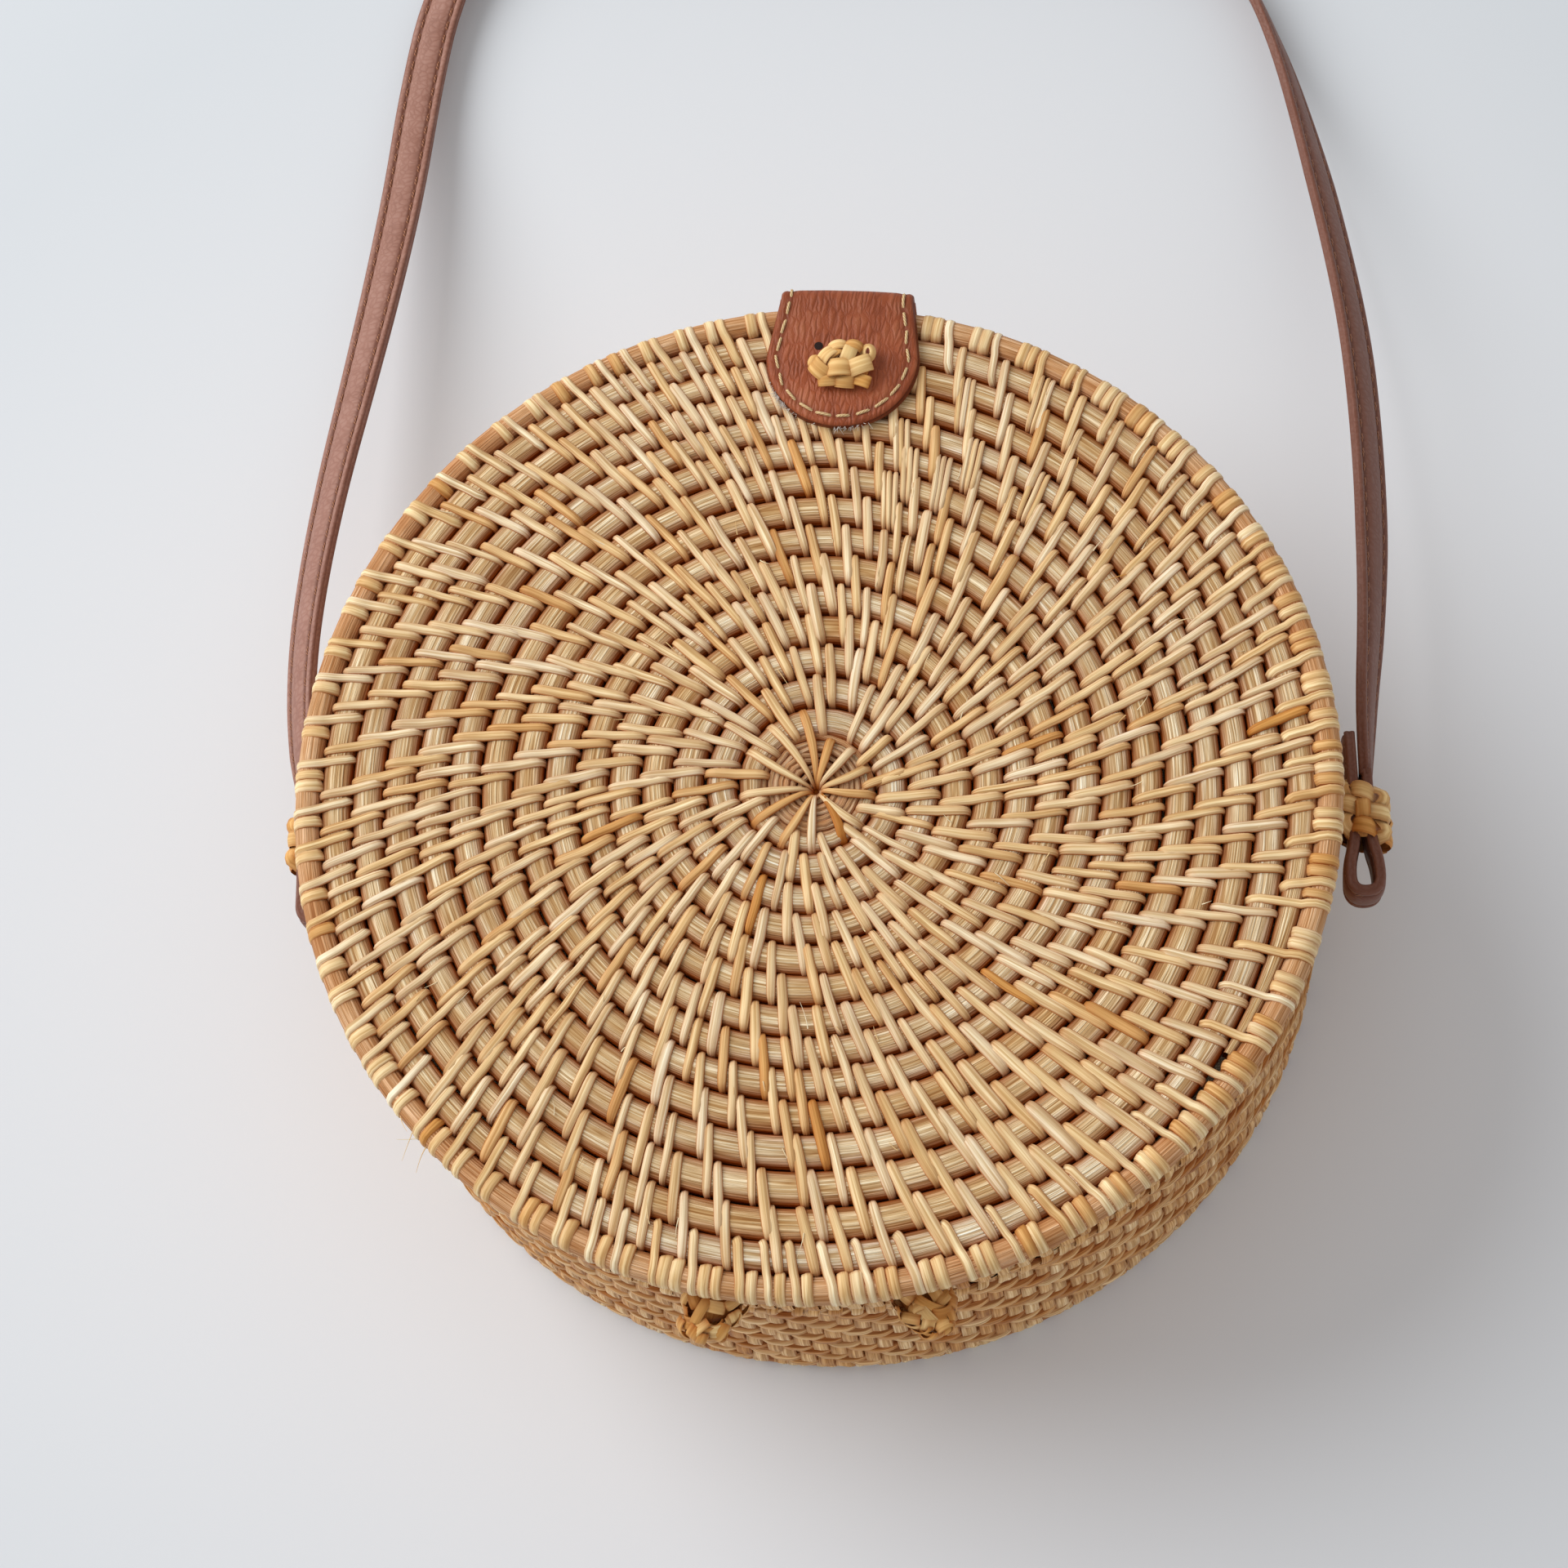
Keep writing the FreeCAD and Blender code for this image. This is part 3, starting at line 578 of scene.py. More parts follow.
def swept(lines: Array, outs: Array, widths: Array | float, profile: Array) -> Array:
    """Sweeps a strip's cross-section along lines.

    Args:
        lines: Centre lines, strips x along x 3.
        outs: Rough outward directions, same shape.
        widths: Width of each strip, or of each point along it.
        profile: Cross-section as shares of the width across and heights in millimetres.

    Returns:
        Points, strips x along x across x 3.
    """
    ahead = unit(np.gradient(lines, axis=1))
    out = unit(outs - ahead * np.sum(outs * ahead, axis=-1, keepdims=True))
    across = np.cross(ahead, out)
    width = np.asarray(widths, float)
    width = width.reshape(width.shape + (1,) * (2 - width.ndim))
    sideways = width[:, :, None, None] * profile[:, :1]
    return lines[:, :, None] + across[:, :, None] * sideways + out[:, :, None] * profile[:, 1:]


def oval(sides: int, half: float) -> Array:
    """Cross-section of a thread or ply with so many sides, half its thickness given."""
    angles = np.linspace(0, TURN, sides + 1)[:-1]
    return np.stack([-0.5 * np.sin(angles), -half * np.cos(angles)], -1)


def strip_map(length: float, along: int, width: float, across: int, shifts: Array) -> Array:
    """Map in millimetres of strips with so many points along and across, each shifted in the grain."""
    grid = joined(np.linspace(0, width, across)[None], np.linspace(0, length, along)[:, None])
    return grid[None] + (shifts[:, None] * np.array([37.0, 91.0]))[:, None, None]


STRIP_PROFILE = np.array([(-0.5, -0.12), (-0.4, 0.28), (0.0, 0.42), (0.4, 0.28), (0.5, -0.12)])
# Painted shade across a strip: darker at both edges, where it meets the strips beside it
STRIP_PAINTED_SHADE = np.array([1.0, 0.34, 0.0, 0.34, 1.0])
BARREL_PROFILE = np.array([(-0.5, -0.2), (-0.3, 0.18), (0.0, 0.3), (0.3, 0.18), (0.5, -0.2)])


@dataclass
class CoiledDisc:
    """Flat disc of one rattan rod wound outwards, lashed row to row, with its bound rim."""

    label: str
    body: Body
    face: DiscFace
    base: float
    nodes: tuple[str, str]
    strips: Material
    rods: Material
    rims: Material
    # Fineness of the meshes, share of the full height, and start of the random source
    lashing_points: int = 13
    rod_step: float = 2.4
    rim_steps: int = 240
    swell: float = 1.0
    seed: int = 4
    # Coil: its spiral, its end under the rim, and the jog by which the outer rows step out, in turns
    pitch: float = 6.1
    start_radius: float = 2.47
    first_turn: float = 0.68
    slack: float = 0.15
    rod_overrun: float = 1.2
    rod_cover: float = 0.4
    jog_turn: float = 0.07
    jog_half: float = 0.1
    jog_radius: float = 66.0
    jog_reach: float = 18.0
    # How far the coil's middle lies off the axis, and out to which radius rows are shifted with it
    heart: Pair = (0.9, -2.0)
    heart_reach: float = 75.0
    # Hub: a hole, spokes, and a winding of fine fibres under them
    hub_radius: float = 9.0
    hub_hole: float = 0.9
    hub_spokes: int = 13
    hub_pitch: float = 1.12
    hub_turns: float = 8.0
    hub_start: float = 1.5
    hub_fibre: float = 1.3
    # Rim, and where the strips round it start to turn down
    rim_inner: float = 94.4
    rim_middle: float = 96.95
    rim_width: float = 5.2
    rim_shift: float = 0.0
    rim_core: float = 0.6
    round_from: float = 96.6
    # Lashings: width, lean, and the room from which one more is put in, larger in the outer rows
    lashing_width: float = 1.86
    lashing_lean: float = 3.0
    lashing_room: float = 4.4
    outer_room: float = 2.8
    outer_radius: float = 85.0
    arm_shift: float = 3.2
    scarf: float = 0.35
    odd_share: float = 0.035
    # Direction in which the outer lashings are broader
    broad_turn: float = 1.05
    broad_spread: float = 0.08
    broad_radius: float = 45.0
    broad_reach: float = 20.0
    broad_gain: float = 0.4
    # Part of the front where some lashings are split in three
    split_middle: Pair = (26.0, 66.0)
    split_half: Pair = (24.0, 11.0)
    split_share: float = 0.3
    split_gap: float = 1.12
    split_width: float = 1.2
    # Short wraps round the rim, beside the long strips
    wrap_width: float = 2.35
    wrap_spacing: float = 2.15
    wrap_room: float = 3.2

    def place(self, radius: Array, angle: Array, height: Array) -> Array:
        """Points of the disc from polar places and heights over the coil's flat side.

        Args:
            radius: Distance from the axis.
            angle: Angle from +X, anticlockwise seen from the disc's own front.
            height: Height towards the disc's front.

        Returns:
            Points in the bag's frame.
        """
        side = self.face.value
        drift = np.clip(1 - radius / self.heart_reach, 0, 1) ** 1.5
        return joined(side * (radius * np.cos(angle) + self.heart[0] * drift),
                      radius * np.sin(angle) + self.heart[1] * drift, self.base + side * self.swell * height)

    def outward(self, radial: Array, angle: Array, rise: Array | float) -> Array:
        """Directions from a share away from the axis, an angle and a share towards the disc's front."""
        side = self.face.value
        return joined(side * radial * np.cos(angle), radial * np.sin(angle), side * rise)

    def upright(self, angle: Array) -> Array:
        """Direction of the disc's front, at each of these angles."""
        return self.outward(np.zeros_like(angle), angle, 1.0)

    def row_radius(self, turn: Array) -> Array:
        """Radius of the rod's middle after an angle along the coil.

        The inner rows are an even spiral. The outer rows each keep one radius and step out at one short jog.

        Args:
            turn: Angle along the coil.

        Returns:
            Radii.
        """
        rows = turn / TURN
        place = (rows - self.jog_turn + 0.5) % 1.0
        step = np.clip((place - 0.5) / (2 * self.jog_half) + 0.5, 0, 1)
        step = step * step * (3 - 2 * step)
        share = np.clip((self.start_radius + self.pitch * rows - self.jog_radius) / self.jog_reach, 0, 1)
        return self.start_radius + self.pitch * (rows + share * (step - place))

    def groove_radius(self, turn: Array) -> Array:
        """Radius of the groove on the rod's inner side, half way to the row before."""
        return (self.row_radius(turn) + self.row_radius(turn - TURN)) / 2

    def rod(self) -> None:
        """The rod itself, a bundle of split reeds."""
        rng = seeded(self.seed)
        turns = [self.first_turn * TURN]
        while self.row_radius(turns[-1]) < self.rim_inner + self.rod_overrun:
            turns.append(turns[-1] + self.rod_step / self.row_radius(turns[-1]))
        turn = np.array(turns)
        outer = np.minimum(self.groove_radius(turn + TURN) - self.slack, self.rim_inner + self.rod_cover)
        grown = np.clip((turn - turn[0]) / TURN, 0, 1)
        width = np.maximum(outer - self.groove_radius(turn) - self.slack, 0.6) * (0.15 + 0.85 * grown)
        wobble = drifting(rng, len(turn), 41)
        fall = 0.6 + 0.4 * np.clip(2 * grown, 0, 1)
        lines = self.place(outer - width / 2 + 0.5 * wobble, -turn, 0.25 * wobble)[None]
        section = np.array([(-0.5, 0.0), (-0.5, 1.8), (-0.47, 2.85), (-0.37, 3.62), (-0.19, 4.02), (0.0, 4.1),
                            (0.19, 4.02), (0.37, 3.62), (0.47, 2.85), (0.5, 1.8), (0.5, 0.0)])
        grid = swept(lines, self.upright(-turn)[None], width[None], section * np.array([1.0, self.swell]))
        grid[0, :, :, 2] = self.base + (grid[0, :, :, 2] - self.base) * fall[:, None]
        spread = np.array([0, 1.6, 2.8, 3.8, 4.9, 5.9, 6.9, 8.0, 9.0, 10.2, 11.8, 17.0])
        tint = np.clip(0.42 + 1.6 * drifting(rng, len(turn), 81), 0, 1)
        # Painted shade on the rod's flanks and underside, none on its crown
        painted_shade = np.array([1, 1, 1, 0.62, 0.14, 0, 0.14, 0.62, 1, 1, 1])
        patch = PatchMesh(self.label + "_rod")
        patch.add(grid, joined(spread[None], walked(lines[0])[:, None]), tint[None], closed=True, painted_shades=painted_shade)
        settle(patch.build(self.rods), self.body, Slot.COIL, self.nodes[0])

    def lashing_turns(self) -> Array:
        """Places of the lashings along the coil, each row's beside the last row's, more in longer rows.

        Returns:
            Angles along the coil.
        """
        rng = seeded(self.seed + 1)
        row = [TURN * (self.first_turn + 0.25 + step / self.hub_spokes) for step in range(self.hub_spokes)]
        everything = list(row)
        while self.row_radius(row[0]) - self.pitch / 2 < self.rim_inner:
            filled = row[-1:]
            for turn in row:
                radius = self.row_radius(turn) + self.pitch
                following = turn + TURN - self.arm_shift / (radius - self.pitch / 2)
                room = self.lashing_room + self.outer_room * min(1.0, radius / self.outer_radius)
                wanted = room * rng.uniform(1.2, 1.6)
                if (following - filled[-1]) * radius > wanted:
                    filled.append((filled[-1] + following) / 2)
                filled.append(following)
            line = np.array(filled)
            line[1:-1] += 0.3 * ((line[:-2] + line[2:]) / 2 - line[1:-1])
            row = [turn + rng.normal(0, 0.2) / self.row_radius(turn) for turn in line[1:]]
            everything += row
        return np.array(everything)

    def lashings(self) -> None:
        """Split strips over two rows each, the last ones over the rim, and the rim's own wraps."""
        rng = seeded(self.seed + 2)
        patch = PatchMesh(self.label + "_lashings")
        turns = self.lashing_turns()
        groove = np.maximum(self.groove_radius(turns), self.hub_radius)
        rows_left = (self.rim_inner - groove) / self.pitch + self.scarf
        flat = rows_left >= 2
        last = (rows_left >= 1) & ~flat
        self.add_row_strips(patch, turns[flat], groove[flat], rng)
        self.add_hub_spokes(patch, rng)
        self.add_rim_strips(patch, turns[last], groove[last], rng)
        settle(patch.build(self.strips), self.body, Slot.COIL)

    def add_row_strips(self, patch: PatchMesh, turns: Array, groove: Array, rng: Generator) -> None:
        """Strips that each cross two rows.

        Args:
            patch: Piece to add to.
            turns: Place of each strip.
            groove: Radius of the groove where each strip starts.
            rng: Random source.
        """
        full = np.array([0, 0.025, 0.06, 0.11, 0.2, 0.36, 0.5, 0.64, 0.8, 0.89, 0.94, 0.975, 1.0])
        heights = np.array([1.3, 3.1, 3.8, 4.12, 4.24, 4.15, 4.0, 4.15, 4.24, 4.12, 3.8, 3.1, 1.3])
        share = full if self.lashing_points == 13 else full[::2]
        height = np.interp(share, full, heights)
        middle = self.place(groove + self.pitch, -turns, np.zeros_like(turns))[:, :2]
        split = np.all(np.abs(middle - np.array(self.split_middle)) < self.split_half, axis=1)
        split = split & (rng.random(len(turns)) < self.split_share) & (self.face is DiscFace.FRONT)
        shift = self.split_gap / (groove[split] + self.pitch)
        turns = np.concatenate([turns, turns[split] - shift, turns[split] + shift])
        groove = np.concatenate([groove, groove[split], groove[split]])
        thin = np.concatenate([split, split[split], split[split]])
        count = len(turns)
        lean = self.lashing_lean + np.where(thin, 0.1, 0.35) * rng.normal(0, 1, count)
        reach = np.minimum(self.groove_radius(turns + 2 * TURN), self.rim_inner) - groove
        radius = groove[:, None] + reach[:, None] * share[None]
        sway = lean[:, None] * share[None] + rng.normal(0, 0.12, (count, 1)) * np.sin(math.pi * share)[None]
        angle = -turns[:, None] + sway / radius
        lines = self.place(radius, angle, height[None] + rng.normal(0, 0.07, (count, 1)))
        corner = np.exp((np.cos(angle.mean(1) + self.broad_turn) - 1) / self.broad_spread)
        corner = corner * np.clip((groove - self.broad_radius) / self.broad_reach, 0, 1)
        width = self.lashing_width * (1 + rng.normal(0, 0.09, count) + self.broad_gain * corner)
        width = np.where(thin, self.split_width, width)
        taper = np.interp(share, [0, 0.14, 0.5, 0.86, 1], [0.74, 0.98, 1.05, 0.98, 0.74])
        grids = swept(lines, self.upright(angle), width[:, None] * taper[None], STRIP_PROFILE)
        tint = 0.12 + 0.55 * rng.beta(1.8, 2.4, count) + (rng.random(count) < self.odd_share) * 0.35
        # Painted shade at both ends, where each strip dives under a row, stronger at the outer end, and along
        # its edges
        painted_end_shade = np.maximum(np.abs(2 * share - 1) ** 5, 0.45 * share ** 3)
        maps = strip_map(14.0, len(share), 2.2, 5, rng.random(count))
        patch.add(grids, maps, tint, painted_shades=np.maximum(0.85 * painted_end_shade[None, :, None], STRIP_PAINTED_SHADE))

    def add_hub_spokes(self, patch: PatchMesh, rng: Generator) -> None:
        """Strips from the hole in the middle to the first row.

        Args:
            patch: Piece to add to.
            rng: Random source.
        """
        share = np.array([0, 0.07, 0.16, 0.3, 0.5, 0.7, 0.85, 0.94, 1.0])
        height = np.array([1.2, 3.2, 4.0, 4.25, 4.3, 4.3, 4.1, 3.2, 1.4])
        count = self.hub_spokes
        turn = TURN * (self.first_turn + 0.12 + np.arange(count) / count) + rng.normal(0, 0.05, count)
        reach = self.row_radius(turn) + self.pitch / 2 - self.hub_hole
        radius = self.hub_hole + reach[:, None] * share[None]
        angle = -turn[:, None] + rng.normal(0, 0.16, (count, 1)) * (1 - share[None])
        width = np.interp(share, [0, 0.2, 0.5, 1], [0.6, 1.2, 1.7, 1.85])
        grids = swept(self.place(radius, angle, height[None]), self.upright(angle),
                      np.repeat(width[None], count, axis=0), STRIP_PROFILE)
        maps = strip_map(10.0, len(share), 2.0, 5, rng.random(count))
        # Painted shade at both ends of each spoke and along its edges
        patch.add(grids, maps, 0.5 + rng.normal(0, 0.15, count),
                  painted_shades=np.maximum(np.abs(2 * share - 1)[:, None] ** 5, STRIP_PAINTED_SHADE))

    def add_rim_strips(self, patch: PatchMesh, turns: Array, groove: Array, rng: Generator) -> None:
        """Strips over the last row and round the rim, with short wraps beside them.

        Args:
            patch: Piece to add to.
            turns: Place of each long strip.
            groove: Radius of the groove where each strip starts.
            rng: Random source.
        """
        count = len(turns)
        row = np.array([(0, 1.3), (0.05, 3.1), (0.12, 3.8), (0.24, 4.12), (0.5, 4.24), (0.76, 4.12),
                        (1.0, 3.98)])
        rim = np.array([(95.4, 4.3), (96.9, 4.5), (98.3, 4.1), (99.1, 3.0), (99.4, 1.4), (99.0, -0.4),
                        (98.2, -1.8), (97.5, -2.9)]) + np.array([self.rim_shift, 0.0])
        step = np.maximum(self.rim_inner - groove, 2.0)
        radius = np.concatenate([groove[:, None] + step[:, None] * row[None, :, 0],
                                 np.repeat(rim[None, :, 0], count, axis=0)], axis=1)
        height = np.concatenate([row[:, 1], rim[:, 1]])[None] + rng.normal(0, 0.06, (count, 1))
        sway = np.interp(np.arange(15), [0, 8, 11, 14], [0.0, 2.7, 3.1, 3.3])[None]
        angle = -turns[:, None] + sway * (1 + rng.normal(0, 0.12, (count, 1))) / radius
        tint = 0.12 + 0.55 * rng.beta(1.8, 2.4, count)
        self.add_rim_wraps(patch, (radius, angle, height), tint, self.lashing_width, rng)
        order = np.sort(angle[:, 8] % TURN)
        room = np.diff(np.append(order, order[0] + TURN)) * self.rim_middle
        radius = np.concatenate([[94.2, 94.4, 95.0], rim[1:, 0]])
        height = np.concatenate([[1.8, 3.5, 4.25], rim[1:, 1]])
        drift = np.interp(np.arange(10), [0, 9], [-0.35, 0.5])
        for extra in (1, 2):
            wide_room = 7.6 - 2.2 * np.cos(order + 0.8) + rng.uniform(0, 1.6, len(room))
            chosen = room > (self.wrap_room if extra == 1 else wide_room)
            count = chosen.sum()
            place = order[chosen] + (self.wrap_spacing * extra + rng.normal(0, 0.15, count)) / self.rim_middle
            angle = place[:, None] + drift[None] / radius[None]
            lift = height[None] + rng.normal(0, 0.06, (count, 1))
            tint = 0.3 + 0.5 * rng.beta(2.0, 2.6, count)
            rows = np.repeat(radius[None], count, axis=0)
            self.add_rim_wraps(patch, (rows, angle, lift), tint, self.wrap_width, rng)

    def add_rim_wraps(self, patch: PatchMesh, places: tuple[Array, Array, Array], tint: Array, broad: float,
                      rng: Generator) -> None:
        """Adds strips that run round the rim.

        Args:
            patch: Piece to add to.
            places: Radii, angles and heights along each strip.
            tint: Tint of each strip.
            broad: Width of the strips.
            rng: Random source.
        """
        radius, angle, height = places
        count, along = radius.shape
        round_share = np.clip((radius - self.rim_shift - self.round_from) / 2.0, 0, 1)
        radial = (radius - self.rim_shift - self.rim_middle) * round_share
        rise = np.where(round_share > 0, height - self.rim_core, 1.0) * np.maximum(round_share, 1e-3)
        rise = rise + (1 - round_share)
        below = (np.arange(along) > along - 4)[None]
        radial = np.where(below, 1.0, radial)
        rise = np.where(below, (height - self.rim_core) * 0.45, rise)
        outs = unit(self.outward(radial, angle, rise))
        width = broad * (1.0 + rng.normal(0, 0.08, count))
        grids = swept(self.place(radius, angle, height), outs, width, STRIP_PROFILE)
        # Painted shade at both ends of each wrap and along its edges
        painted_end_shade = np.interp(np.arange(along), [0, 2, along - 4, along - 1], [0.85, 0.0, 0.0, 0.8])
        patch.add(grids, strip_map(18.0, along, 2.2, 5, rng.random(count)), tint,
                  painted_shades=np.maximum(painted_end_shade[:, None], STRIP_PAINTED_SHADE))

    def hub(self) -> None:
        """Fine winding of thin fibres in the middle of the disc."""
        rng = seeded(self.seed + 3)
        turn = np.arange(0, self.hub_turns * TURN, 0.25)
        radius = self.hub_start + self.hub_pitch * turn / TURN
        bob = drifting(rng, len(turn), 5)
        slow = drifting(rng, len(turn), 31)
        height = np.interp(radius, [2, 4, 8, 10.5], [2.2, 3.0, 3.2, 2.6]) + 0.45 * bob
        lines = self.place(radius + 0.35 * bob + 0.8 * slow, -turn, height)[None]
        section = np.array([(-0.5, -1.4), (-0.5, 0.0), (-0.3, 0.4), (0.0, 0.5), (0.3, 0.4), (0.5, 0.0),
                            (0.5, -1.4)])
        width = (self.hub_fibre + 0.35 * bob)[None]
        grid = swept(lines, self.outward(0.5 * bob, -turn, 1.0)[None], width, section)
        maps = joined(np.linspace(0, 6, 7)[None], walked(lines[0])[:, None])
        patch = PatchMesh(self.label + "_hub")
        # Painted shade on the flanks of the fibres
        patch.add(grid, maps, (0.2 + 0.9 * bob)[None], painted_shades=np.array([1, 0.7, 0.2, 0.0, 0.2, 0.7, 1]))
        # A flat disc in the middle, wholly painted shade, stands in for the dark hole
        plug = self.place(np.array([[0.02], [2.6]]), np.linspace(0, TURN, 17)[None], 1.0)
        patch.add(plug[None], strip_map(3.0, 2, 12.0, 17, np.zeros(1)), 1.0, painted_shades=1.0)
        settle(patch.build(self.rims), self.body, Slot.COIL)

    def rim(self) -> None:
        """The rim's rod, browner than the rows."""
        rng = seeded(self.seed + 5)
        angle = np.linspace(0, TURN, self.rim_steps + 1)
        bob = drifting(rng, self.rim_steps, 7)
        bob = np.append(bob, bob[0])
        lines = self.place(self.rim_middle + self.rim_shift, angle, 0.15 * bob)[None]
        section = np.array([(-0.5, -1.4), (-0.5, 2.0), (-0.42, 3.4), (-0.24, 4.2), (0.0, 4.45), (0.24, 4.2),
                            (0.41, 3.3), (0.49, 1.8), (0.46, 0.2), (0.3, -1.0), (0.1, -1.4)])
        grid = swept(lines, self.upright(angle)[None], np.array([self.rim_width]),
                     section * np.array([1.0, self.swell]))
        spread = np.array([0, 3.4, 4.9, 6.2, 7.6, 9.0, 10.4, 12.0, 13.6, 15.1, 16.2, 18.0])
        maps = joined(spread[None], (angle * self.rim_middle)[:, None])
        patch = PatchMesh(self.label + "_rim_rod")
        # Painted shade on the rim rod's flanks and underside
        painted_shade = np.array([1, 0.9, 0.4, 0.05, 0, 0.05, 0.1, 0.2, 0.5, 0.9, 1])
        patch.add(grid, maps, (0.5 + 0.35 * bob)[None], closed=True, painted_shades=painted_shade)
        # A band under the rim, its colour mixed half way to the painted shade
        edge = np.array([(98.5, -0.2), (98.0, -1.5), (97.3, -2.6)]) + np.array([self.rim_shift, 0.0])
        skirt = self.place(edge[:, :1], angle[None], edge[:, 1:])
        maps = strip_map(4.0, 3, TURN * self.rim_middle, self.rim_steps + 1, np.zeros(1))
        patch.add(skirt[None], maps, 0.6, painted_shades=0.55)
        settle(patch.build(self.rims), self.body, Slot.COIL, self.nodes[1])

    def build(self) -> None:
        """Builds every piece of the disc."""
        self.rod()
        self.hub()
        self.rim()
        self.lashings()


@dataclass
class WovenWall:
    """Twill wall of flat strips: stakes up the wall, weavers round it."""

    label: str
    body: Body
    bottom: float
    top: float
    rows: int
    node: str
    finish: Material
    stakes: int = 188
    middle_radius: float = 95.95
    flare: float = 0.0
    flare_top: float = 54.35
    # How far stakes and weavers swing, how far rows wander, and steps over which a row closes on itself
    weave_depth: float = 0.5
    weaver_depth: float = 0.68
    weaver_drift: float = 1.4
    closing: int = 60
    backing_depth: float = 0.5
    finer: int = 4
    seed: int = 11

    @property
    def pitch(self) -> float:
        """Height of a row."""
        return (self.top - self.bottom) / self.rows

    def wall_radius(self, height: Array) -> Array:
        """Middle of the weave: straight near the mouth, wider towards the back."""
        share = np.clip((self.flare_top - height) / (self.flare_top - self.bottom), 0, 1)
        return self.middle_radius + self.flare * share

    def eased(self, crossings: Array) -> Array:
        """Soft wave through the crossings of strips.

        Args:
            crossings: 1 or -1 at each crossing, strips x crossings.

        Returns:
            Wave at the finer steps.
        """
        count = crossings.shape[1]
        fine = np.linspace(0, count - 1, (count - 1) * self.finer + 1)
        wave = np.stack([np.interp(fine, np.arange(count), line) for line in crossings])
        padded = np.pad(wave, ((0, 0), (1, 1)), mode="edge")
        return (padded[:, :-2] + 2 * wave + padded[:, 2:]) / 4

    def over(self, stake: Array, row: Array) -> Array:
        """Two over and two under: 1 where the stake is outside, -1 where the weaver is."""
        return np.where((stake + row) % 4 < 2, 1.0, -1.0)

    def build(self) -> None:
        """Builds weavers, stakes and the inner side."""
        rng = seeded(self.seed)
        self.build_weavers(rng)
        self.build_stakes(rng)
        self.build_backing()

    def build_backing(self) -> None:
        """Inner side of the weave, seen only between the strips, its colour mixed a little towards the
        painted shade.
        """
        height = np.linspace(self.bottom, self.top, 5)[:, None]
        angle = np.linspace(0, TURN, 181)[None]
        grid = around(self.wall_radius(height) - self.backing_depth, angle, height)[None]
        patch = PatchMesh(self.label + "_inside")
        patch.add(grid[:, ::-1], strip_map(60.0, 5, 600.0, 181, np.zeros(1)), 0.4, painted_shades=0.2)
        settle(patch.build(self.finish), self.body, Slot.WALL)

    def build_weavers(self, rng: Generator) -> None:
        """Flat strips round the wall.

        Args:
            rng: Random source.
        """
        row = np.arange(self.rows)[:, None]
        wave = -self.eased(self.over(np.arange(self.stakes + 1)[None], row))
        along = wave.shape[1]
        angle = np.linspace(0, TURN, along)[None] + np.zeros_like(wave)
        drift = np.stack([drifting(rng, along, 121) for _ in range(self.rows)])
        last = drift[:, -self.closing:] * np.linspace(1, 0, self.closing)
        drift[:, -self.closing:] = last + drift[:, :1] * np.linspace(0, 1, self.closing)
        height = self.bottom + (row + 0.5) * self.pitch + self.weaver_drift * drift
        lines = around(self.wall_radius(height) + self.weaver_depth * wave, angle, height)
        profile = np.array([(-0.5, -0.85), (-0.46, 0.08), (-0.36, 0.22), (0.36, 0.22), (0.46, 0.08),
                            (0.5, -0.85)])
        grids = swept(lines, around(1.0, angle, 0.0), np.full(self.rows, self.pitch), profile)
        maps = strip_map(TURN * self.middle_radius, along, self.pitch, 6, rng.random(self.rows))
        tint = 0.5 + 3.0 * drift + rng.normal(0, 0.16, (self.rows, 1))
        patch = PatchMesh(self.label + "_weavers")
        # Painted shade where a weaver passes under the stakes and along its edges
        edge = np.array([0.9, 0.35, 0.0, 0.0, 0.35, 0.9])
        patch.add(grids, maps, tint, painted_shades=np.maximum((0.3 - 0.5 * wave)[:, :, None], edge))
        settle(patch.build(self.finish), self.body, Slot.WALL, self.node)

    def build_stakes(self, rng: Generator) -> None:
        """Flat strips up the wall.

        Args:
            rng: Random source.
        """
        stake = np.arange(self.stakes)[:, None]
        wave = self.eased(self.over(stake, np.arange(self.rows)[None]))
        along = wave.shape[1]
        height = np.linspace(self.bottom, self.top, along)[None] + np.zeros_like(wave)
        angle = (stake + rng.normal(0, 0.06, (self.stakes, 1))) * (TURN / self.stakes) + np.zeros_like(wave)
        lines = around(self.wall_radius(height) + self.weave_depth * wave, angle, height)
        wide = TURN * self.middle_radius / self.stakes
        profile = np.array([(-0.5, -0.7), (-0.44, 0.14), (0.0, 0.3), (0.44, 0.14), (0.5, -0.7)])
        widths = wide * (0.97 + rng.normal(0, 0.05, self.stakes))
        grids = swept(lines, around(1.0, angle, 0.0), widths, profile)
        maps = strip_map(self.top - self.bottom, along, wide, 5, rng.random(self.stakes))
        patch = PatchMesh(self.label + "_stakes")
        # Painted shade where a stake passes under the weavers and along its edges
        painted_shade = np.maximum((0.3 - 0.5 * wave)[:, :, None], 0.7 * STRIP_PAINTED_SHADE)
        patch.add(grids, maps, rng.beta(1.6, 2.6, self.stakes), painted_shades=painted_shade)
        settle(patch.build(self.finish), self.body, Slot.WALL)


